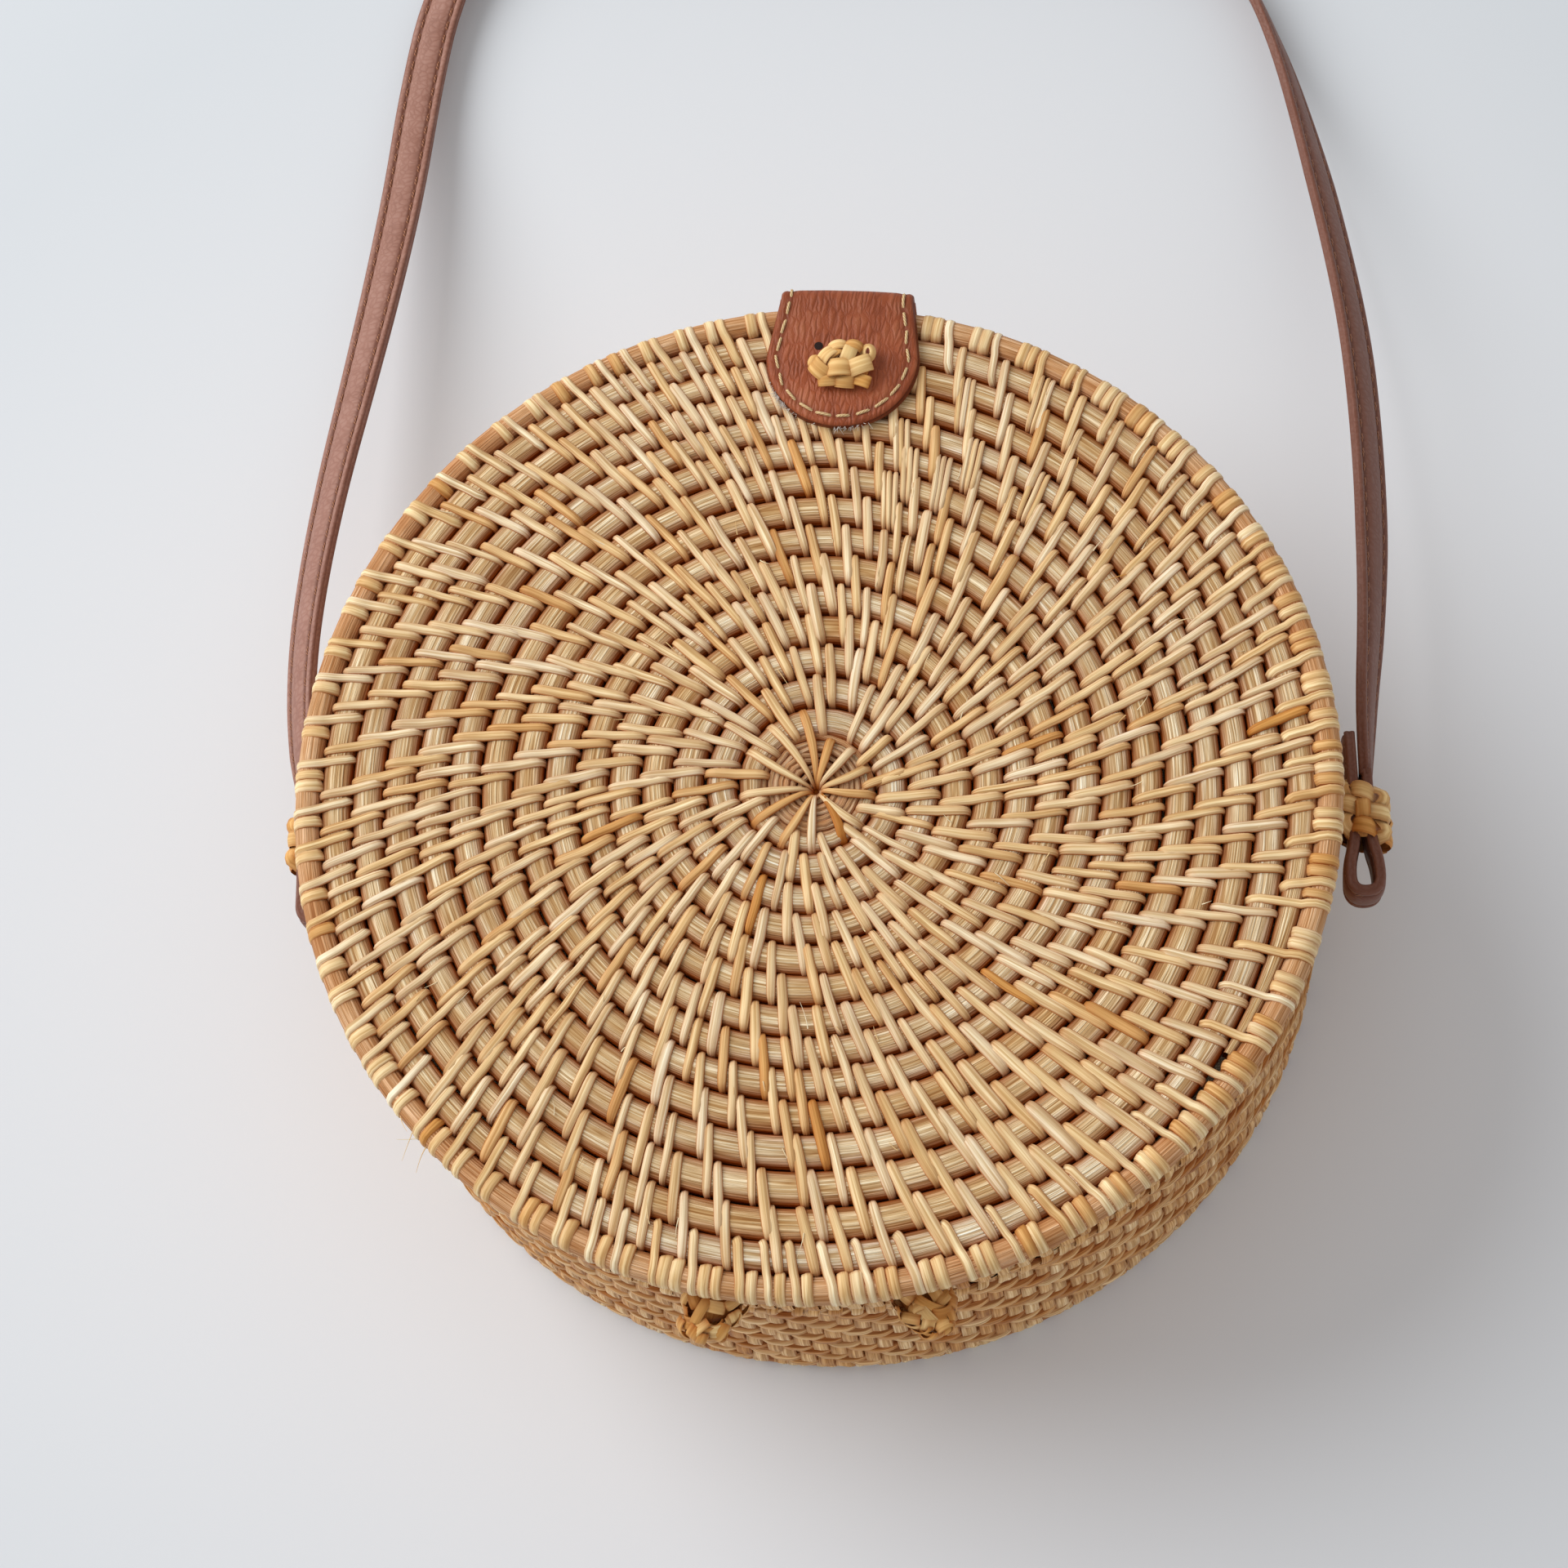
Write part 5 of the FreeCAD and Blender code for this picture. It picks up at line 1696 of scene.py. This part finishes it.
@dataclass
class ShoulderStrap:
    """Flat folded leather strap: two ends knotted to the body, and the free length between them."""

    hide: Material
    yarn: Material
    width: float = 10.0
    knot_z: float = 33.0
    table_z: float = 5.6
    drop: Pair = (34.0, 196.0)
    foot: Pair = (107.65, 12.0)
    coil_entry: Pair = (-68.0, 296.0)
    turn_radius: float = 50.0
    turn_spacing: float = 6.0
    bight_radius: float = 20.5
    # Cut length in metres
    cut_length: float = 1.253
    stitch: float = 2.6
    stitch_gap: float = 1.1
    stitch_width: float = 0.72
    seam: float = 0.31
    tie_thickness: float = 0.6
    tie_edge: float = 0.9
    # Painted shade towards the right knot and at the ends, and the left loop's way in to the wall
    right_shade: float = 0.66
    end_shade: float = 0.62
    left_hug: float = 1.6
    # Control points of both runs and of a folded end, seen from above
    left_route: tuple = ((-110.2, 27.0), (-111.5, 46.4), (-110.9, 67.0), (-108.6, 91.0), (-105.2, 115.0),
                         (-101.6, 142.0), (-98.6, 170.0), (-96.8, 198.0), (-92.4, 224.0), (-80.0, 250.0),
                         (-68.0, 271.0))
    right_route: tuple = ((13.0, 246.0), (26.0, 247.0), (62.0, 244.0), (90.6, 226.0), (100.6, 200.0),
                          (106.2, 171.0), (110.0, 145.0), (112.8, 119.0), (113.4, 95.0), (112.9, 70.0),
                          (111.0, 46.0), (108.6, 27.0))
    end_plan: tuple = ((-1.6, 21.0), (-1.4, 9.4), (-1.4, -1.0), (-2.85, -6.0), (-2.85, -12.2), (2.85, -12.2),
                       (2.85, -6.0), (1.4, -1.0), (1.4, 9.0), (1.4, 13.0))
    end_x: float = 106.25
    # Lean from upright in degrees, at shares of the length
    lean: tuple = ((0.0, 18.0), (0.01, 38.0), (0.035, 46.0), (0.06, 53.0), (0.09, 64.0), (0.12, 76.0),
                   (0.145, 84.0), (0.17, 82.0), (0.20, 40.0), (0.24, 0.0), (0.76, 0.0), (0.82, 8.0),
                   (0.85, 22.0), (0.88, 37.0), (0.92, 40.0), (0.955, 38.0), (0.975, 27.0), (0.99, 17.0),
                   (1.0, 7.0))

    def height_at(self, y: float) -> float:
        """Height of the strap's middle: held by the knot, then falling to the table."""
        return float(np.interp(y, self.drop, (self.knot_z, self.table_z)))

    def coil_points(self) -> list[tuple[float, float]]:
        """Points of the put-away coil, both legs wound in to one bight.

        Returns:
            Plan points, sixteen to a turn.
        """
        x, y = self.coil_entry
        inner = self.turn_radius - self.turn_spacing
        heart = (2 * self.turn_radius - 3 * self.turn_spacing - 2 * self.bight_radius) / 2
        arcs = [(self.turn_radius, 1, 1, 8), (inner, -1, -1, 8), (self.bight_radius, 1, 1, 8),
                (heart, 1, -1, 8), (inner, -1, 1, 8), (self.turn_radius, 1, -1, 4)]
        points = [(x, y)]
        for radius, along, up, steps in arcs:
            for step in range(1, steps + 1):
                turn = math.pi * step / 8
                points.append((x + along * radius * (1 - math.cos(turn)), y + up * radius * math.sin(turn)))
            x += 2 * along * radius
        return points

    def spline_points(self, points: list[tuple[float, float, float]], resolution: int) -> Array:
        """Points read from a smooth spline with these control points.

        Args:
            points: Control points in millimetres.
            resolution: Points read for each control point.

        Returns:
            Points in millimetres.
        """
        data = bpy.data.curves.new("strap_route", "CURVE")
        data.dimensions = "3D"
        spline = data.splines.new("NURBS")
        spline.points.add(len(points) - 1)
        for point, (x, y, z) in zip(spline.points, points):
            point.co = (x * MM, y * MM, z * MM, 1.0)
        spline.order_u = 3
        spline.use_endpoint_u = True
        data.resolution_u = resolution
        carrier = new_object("strap_route", data)
        bpy.context.view_layer.update()
        mesh = bpy.data.meshes.new_from_object(carrier)
        read = np.array([vertex.co for vertex in mesh.vertices]) / MM
        bpy.data.objects.remove(carrier)
        bpy.data.meshes.remove(mesh)
        bpy.data.curves.remove(data)
        return read

    def route(self) -> Array:
        """Middle line of the free strap.

        Returns:
            Points from knot to knot.
        """
        plan = [(-self.foot[0], self.foot[1])] + list(self.left_route)
        plan += self.coil_points() + list(self.right_route) + [(self.foot[0], self.foot[1])]
        return self.spline_points([(x, y, self.height_at(y)) for x, y in plan], 6)

    def frames(self, line: Array, lean: Array) -> tuple[Array, Array]:
        """Directions up the strap's width and out of its face.

        Args:
            line: Middle line.
            lean: Lean from upright in degrees, towards the face's left when walking along.

        Returns:
            Directions of the width and of the face.
        """
        ahead = unit(np.gradient(line, axis=0))
        up = unit(UP - ahead * (ahead @ UP)[:, None])
        side = np.cross(ahead, up)
        angle = np.radians(lean)[:, None]
        return up * np.cos(angle) + side * np.sin(angle), side * np.cos(angle) - up * np.sin(angle)

    def section(self) -> Array:
        """Cross-section: two folded layers with a pressed seam line near each edge.

        Returns:
            Shares of the width and distances out of the face.
        """
        half = [(-0.497, 0.42), (-0.485, 0.8), (-0.44, 1.08), (-0.375, 1.06), (-0.335, 0.76), (-0.285, 0.76),
                (-0.235, 1.14), (-0.1, 1.3)]
        face = half + [(-across, out) for across, out in half[::-1]]
        back = [(-across, -out) for across, out in face]
        return np.array(face + [(0.475, 0.0)] + back + [(-0.475, 0.0)])

    def ribbon(self, name: str, line: Array, lean: Array, shade: Array) -> Piece:
        """Leather ribbon along a line.

        Args:
            name: Name of the piece.
            line: Middle line.
            lean: Lean in degrees at each point.
            shade: Painted shade of the leather at each point.

        Returns:
            The piece.
        """
        wide, face = self.frames(line, lean)
        section = self.section()
        grid = line[:, None] + wide[:, None] * (section[:, :1] * self.width) + face[:, None] * section[:, 1:]
        grid = np.concatenate([line[:1, None] + 0 * grid[:1], grid, line[-1:, None] + 0 * grid[:1]])
        far = np.pad(walked(line), 1, mode="edge")
        gaps = np.diff(np.concatenate([section, section[:1]]), axis=0)
        round_edge = np.concatenate([[0], np.cumsum(np.hypot(gaps[:, 0] * self.width, gaps[:, 1]))])
        patch = PatchMesh(name)
        out = np.abs(section[::-1, 0])
        # Painted shade along the pressed seam lines and on the edges
        painted_seam_and_edge_shade = (np.abs(out - self.seam) < 0.04) + 0.6 * (out > 0.48)
        painted_shade = np.maximum(0.9 * painted_seam_and_edge_shade, np.pad(shade, 1, mode="edge")[:, None])
        patch.add(grid[None, :, ::-1], joined(round_edge[None], far[:, None]), 0.5, closed=True, painted_shades=painted_shade)
        return patch.build(self.hide)

    def stitches(self, name: str, line: Array, lean: Array) -> Piece:
        """Stitch lines near both edges, on both faces.

        Args:
            name: Name of the piece.
            line: Middle line.
            lean: Lean in degrees at each point.

        Returns:
            The piece.
        """
        wide, face = self.frames(line, lean)
        far = walked(line)
        count = int(far[-1] / (self.stitch + self.stitch_gap))
        share = np.array([0, 0.2, 0.5, 0.8, 1.0])
        places = (np.arange(count) + 0.3)[:, None] * far[-1] / count + share[None] * self.stitch

        def read(values: Array) -> Array:
            """Values at the stitches' places."""
            return np.stack([np.interp(places, far, values[:, axis]) for axis in range(3)], -1)

        middle, broad, front = read(line), unit(read(wide)), unit(read(face))
        lift = np.array([0.45, 0.85, 0.95, 0.85, 0.45])[None, :, None]
        patch = PatchMesh(name)
        for edge in (-self.seam, self.seam):
            for side in (-1, 1):
                lines = middle + broad * (edge * self.width) + front * (side * lift)
                grids = swept(lines, side * front, np.full(count, self.stitch_width), oval(5, 0.22))
                patch.add(grids, strip_map(self.stitch, 5, 2.0, 6, np.zeros(count)), 0.4, closed=True)
        return patch.build(self.yarn)

    def build_free_strap(self) -> None:
        """The strap between its knots, with its sewing and the tie round its coil."""
        line = self.route()
        far = walked(line)
        share = far / far[-1]
        stops = np.array(self.lean)
        lean = np.interp(share, stops[:, 0], stops[:, 1])
        # Painted shade towards the right knot
        shade = self.right_shade * np.clip((share - 0.74) / 0.12, 0, 1)
        strap = self.ribbon("shoulder_strap", line, lean, shade)
        settle(strap, Body.BODY, Slot.STRAP, "strap_left", "strap_right", "strap_coil")
        sewing = settle(self.stitches("shoulder_strap_sewing", line, lean), Body.BODY, Slot.STRAP)
        tie = self.build_tie()

    def build_tie(self) -> Piece:
        """Slim leather band round the coil's turns.

        Returns:
            The piece.
        """
        low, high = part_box("strap_tie")
        bpy.ops.object.select_all(action="DESELECT")
        middle = (Vector(low) + Vector(high)) / 2
        bpy.ops.mesh.primitive_cube_add(size=1.0, location=middle)
        made = bpy.context.object
        made.name = "strap_tie_band"
        made.scale = Vector(high) - Vector(low)
        bpy.ops.object.transform_apply(location=True, rotation=True, scale=True)
        bpy.context.tool_settings.mesh_select_mode = (False, False, True)
        for polygon in made.data.polygons:
            polygon.select = abs(polygon.normal.y) > 0.9
        bpy.ops.object.mode_set(mode="EDIT")
        bpy.ops.mesh.delete(type="FACE")
        bpy.ops.mesh.select_all(action="SELECT")
        bpy.ops.object.mode_set(mode="OBJECT")
        thick = made.modifiers.new("band_thickness", "SOLIDIFY")
        thick.thickness = self.tie_thickness * MM
        thick.offset = -1.0
        soft = made.modifiers.new("band_edges", "BEVEL")
        soft.width = self.tie_edge * MM
        soft.segments = 3
        for modifier in ("band_thickness", "band_edges"):
            bpy.ops.object.modifier_apply(modifier=modifier)
        bpy.ops.object.shade_smooth_by_angle(angle=math.radians(40))
        made.data.materials.append(self.hide)
        return settle(made, Body.BODY, Slot.STRAP, "strap_tie")

    def build_end(self, side: int) -> None:
        """Folded end with its teardrop loop and stub, held by the knot.

        Args:
            side: -1 on the left, 1 on the right.
        """
        name = "strap_end_left" if side < 0 else "strap_end_right"
        hug = self.left_hug if side < 0 else 0.0
        points = [(side * (self.end_x + x - hug * (y < -5)), y, self.knot_z) for x, y in self.end_plan]
        line = self.spline_points(points, 8)
        lean = np.zeros(len(line))
        # Painted shade over the whole folded end
        leather = self.ribbon(name + "_leather", line, lean, np.full(len(line), self.end_shade))
        settle(leather, Body.BODY, Slot.STRAP, name)
        settle(self.stitches(name + "_sewing", line, lean), Body.BODY, Slot.STRAP)

    def build(self) -> None:
        """Builds the whole strap."""
        self.build_free_strap()
        for side in (-1, 1):
            self.build_end(side)


@dataclass
class Lining:
    """Cotton lining of the lid or the body: a round piece and a band."""

    label: str
    body: Body
    disc_z: float
    facing: int
    band_low: float
    band_high: float
    shell_node: str
    wall_node: str
    finish: Material
    flare: float = 0.0
    welt: tuple = ()
    disc_radius: float = 94.2
    band_radius: float = 94.0
    ripple_height: float = 0.09
    band_puff: float = 0.16

    def build(self) -> None:
        """Builds both cloths."""
        turn = np.linspace(0, TURN, 121)
        ring = np.linspace(0.0, self.disc_radius, 40)[:, None]
        far = (ring / self.disc_radius) ** 2
        ripple = self.ripple_height * np.sin(7 * turn)[None] * far + self.ripple_height * far
        height = self.disc_z + self.facing * np.maximum(ripple, 0)
        disc = around(ring, turn[None, ::self.facing], height)
        patch = PatchMesh(self.label + "_round_cloth")
        patch.add(disc[None, ::-1], disc[None, ::-1, :, :2], 0.5)
        cloth = settle(patch.build(self.finish), self.body, Slot.LINING, self.label + "_disc")
        rise = np.linspace(self.band_low, self.band_high, 12)
        share = (rise - self.band_low) / (self.band_high - self.band_low)
        rows = np.array(list(self.welt) + list(zip(self.band_radius + self.flare * (1 - share), rise)))
        puffed = np.concatenate([np.zeros(len(self.welt)), np.sin(math.pi * share)])[:, None]
        radius = rows[:, :1] - self.band_puff * np.abs(np.sin(11 * turn))[None] * puffed
        band = around(radius, turn, rows[:, 1:])
        maps = joined(turn[None] * self.band_radius, walked(rows)[:, None])
        patch = PatchMesh(self.label + "_band_cloth")
        patch.add(band[None, ::-1], maps[None, ::-1], 0.5)
        cloth = settle(patch.build(self.finish), self.body, Slot.LINING, self.label + "_band")


@dataclass
class Studio:
    """Pale table, soft light from the upper left and the camera, in metres and degrees."""

    camera_place: Point = (0.04901, -0.20374, 0.6596)
    camera_turn: Point = (19.178, 5.326, 0.0)
    lens: float = 75.0
    sensor: float = 36.0
    table_size: float = 8.0
    lamp_place: Point = (-1.65, 0.8, 1.5)
    lamp_aim: Point = (0.0, 0.0, 0.03)
    lamp_size: float = 2.2
    lamp_power: float = 47.0
    lamp_colour: Point = (1.0, 0.985, 0.96)
    sky_colour: tuple[float, float, float, float] = (1.0, 0.97, 0.935, 1.0)
    sky_strength: float = 0.54

    def floor(self) -> None:
        """Pale table top, with a painted falloff of light: lighter near the middle, darker further out."""
        bpy.ops.object.select_all(action="DESELECT")
        bpy.ops.mesh.primitive_plane_add(size=self.table_size, location=(0, 0, 0))
        made = bpy.context.object
        made.name = "table_top"
        desk = NodeDesk("pale_table_painted_falloff")
        place = desk.mapped("Object", (2.2, 2.2, 2.2))
        # Painted light falloff: the table's colour grows darker away from the middle
        painted_light_falloff = desk.node("TexGradient", gradient_type="SPHERICAL", Vector=place)
        pale = desk.ramp(painted_light_falloff.outputs["Fac"], (0.42, srgb(214, 221, 229)), (0.72, srgb(230, 234, 241)))
        made.data.materials.append(desk.finished(pale, 0.75, 0.2))

    def light(self) -> None:
        """Broad soft lamp and a pale sky."""
        key = bpy.data.lights.new("window", "AREA")
        key.shape = "DISK"
        key.size = self.lamp_size
        key.energy = self.lamp_power
        key.color = self.lamp_colour
        lamp = new_object("window", key)
        lamp.location = self.lamp_place
        lamp.rotation_euler = (Vector(self.lamp_aim) - lamp.location).to_track_quat("-Z", "Y").to_euler()
        world = bpy.data.worlds.new("pale_sky")
        world.use_nodes = True
        sky = world.node_tree.nodes["Background"]
        sky.inputs["Color"].default_value = self.sky_colour
        sky.inputs["Strength"].default_value = self.sky_strength
        bpy.context.scene.world = world

    def camera(self) -> None:
        """Camera at the photograph's viewing angle."""
        data = bpy.data.cameras.new("photo_camera")
        data.lens = self.lens
        data.sensor_width = self.sensor
        data.clip_start = 0.01
        made = new_object("photo_camera", data)
        made.location = self.camera_place
        made.rotation_euler = [math.radians(angle) for angle in self.camera_turn]
        bpy.context.scene.camera = made

    def build(self) -> None:
        """Sets the whole stage."""
        self.floor()
        self.light()
        self.camera()
        bpy.context.scene.view_settings.view_transform = "Standard"


@dataclass
class CircleBag:
    """The whole bag with its finishes."""

    strips: RattanFinish = RattanFinish("lashing_rattan", STRIP_STOPS, 0.72, 3.2, 0.05)
    rods: RattanFinish = RattanFinish("reed_rods", ROD_STOPS, 0.68, 3.0, 0.05, 0.62, 0.5, 0.6, 0.0003,
                                      streak=0.7)
    rims: RattanFinish = RattanFinish("rim_reed", RIM_STOPS, 0.72, 3.0, 0.05, 0.68, 0.5, 0.6, 0.00026,
                                      streak=0.76)
    # The wall rattan has its own painted shade colour, for the hollows of the weave
    walls: RattanFinish = RattanFinish("wall_strip", WALL_STOPS, 0.66, 2.4, 0.05, groove=srgb(160, 76, 14),
                                       streak=0.72)
    knots: RattanFinish = RattanFinish("knot_strip", KNOT_STOPS, 0.8, 1.6, 0.05)
    tab: LeatherFinish = LeatherFinish("tab_pebbled_leather", srgb(92, 34, 12), srgb(160, 82, 48),
                                       srgb(192, 122, 86))
    # The strap's lightest, greyish colour is largely a painted sheen
    strap: LeatherFinish = LeatherFinish("strap_brown_leather", srgb(96, 48, 28), srgb(156, 112, 98),
                                         srgb(190, 152, 140), (0.9, 0.7, 1.0), 0.00008, 0.42, 0.16)
    # Near-black painted shadow for the hole in the tongue
    hole: LeatherFinish = LeatherFinish("hole_painted_shadow", srgb(20, 8, 4), srgb(34, 14, 8), srgb(44, 20, 12))
    tab_thread: ThreadFinish = ThreadFinish("cream_thread", srgb(190, 152, 102), srgb(232, 206, 160))
    strap_thread: ThreadFinish = ThreadFinish("brown_thread", srgb(96, 54, 38), srgb(164, 110, 80))
    lint: ThreadFinish = ThreadFinish("pale_lint", srgb(206, 196, 190), srgb(244, 240, 236))
    cotton: CottonFinish = CottonFinish("lining_cotton_cloth", srgb(150, 132, 106), srgb(214, 200, 176))

    def build(self) -> None:
        """Builds all pieces in order."""
        strips, rods, rims = self.strips.material(), self.rods.material(), self.rims.material()
        walls, knots = self.walls.material(), self.knots.material()
        ShoulderStrap(self.strap.material(), self.strap_thread.material()).build()
        CoiledDisc("lid_disc", Body.LID, DiscFace.FRONT, 75.4, ("lid_coil", "lid_rim"), strips, rods,
                   rims).build()
        CoiledDisc("back_disc", Body.BODY, DiscFace.BACK, 4.1, ("back_coil", "back_rim"), strips, rods, rims,
                   lashing_points=7, rod_step=4.0, swell=0.79, rim_shift=-1.0, seed=74).build()
        WovenWall("lid_weave", Body.LID, 58.4, 75.9, 5, "lid_wall", walls, seed=12).build()
        WovenWall("body_weave", Body.BODY, 5.1, 57.6, 15, "body_wall", walls, flare=2.3, seed=13).build()
        MouthBinding("lid_mouth_binding", Body.LID, 58.2, 1, walls).build()
        MouthBinding("body_mouth_binding", Body.BODY, 57.8, -1, walls, seed=22).build()
        self.build_knots(knots)
        LeatherTab(self.tab.material(), self.tab_thread.material(), self.hole.material()).build()
        LooseFibres(strips, self.lint.material()).build()
        self.build_linings(self.cotton.material())
        self.dress_nodes()

    def build_knots(self, knots: Material) -> None:
        """Plaited knots and hinge rings.

        Args:
            knots: Rattan of the knots.
        """
        FoldedKnot("tab_knot_plait", Body.LID, (6.475, 84.15, 82.2), (1, -0.1, 0), (0, 0, 1), "tab_knot",
                   knots).build()
        for side, name in ((-1, "left"), (1, "right")):
            lean = side * 0.19
            FoldedKnot("hinge_knot_plait_" + name, Body.LID, (side * 18.9, -95.9, 65.2), (1, -lean, 0),
                       (lean, -1, 0.12), "hinge_knot_" + name, knots, crumpled_folds(33 + side), (),
                       (4.2, 2.6, 4.4), 33 + side).build()
            HingeRing("hinge_ring_" + name, side, "hinge_tie_" + name, knots).build()
            turned = {"slope": 0.28, "bulge": 0.2} if side > 0 else {}
            StrapKnot("strap_knot_barrel_" + name, side, "strap_knot_" + name, knots, **turned).build()

    def build_linings(self, cotton: Material) -> None:
        """Linings of lid and body.

        Args:
            cotton: Cotton cloth.
        """
        welt = ((92.9, 4.95), (93.1, 6.6), (93.9, 6.95), (95.9, 6.98))
        Lining("body_lining", Body.BODY, 4.7, 1, 7.3, 54.35, "back_coil", "body_wall", cotton, flare=2.2,
               welt=welt).build()
        Lining("lid_lining", Body.LID, 74.8, -1, 61.65, 74.0, "lid_coil", "lid_wall", cotton).build()

    def dress_nodes(self) -> None:
        """Gives the carried-over solids their finishes."""
        brass = BrassFinish("snap_brass").material()
        hoop = PlainRodFinish("hoop_rod").material()
        finishes = {"snap_cap": brass, "snap_socket": brass, "snap_stud": brass,
                    "lid_mouth_hoop": hoop, "body_mouth_hoop": hoop}
        for name, finish in finishes.items():
            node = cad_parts[name]
            node.data.materials.clear()
            node.data.materials.append(finish)


def main() -> None:
    """Builds the stage and the bag, and notes the sizes."""
    logging.basicConfig(level=logging.INFO, format="%(name)s %(message)s")
    Studio().build()
    CircleBag().build()


if __name__ == "__main__":
    main()
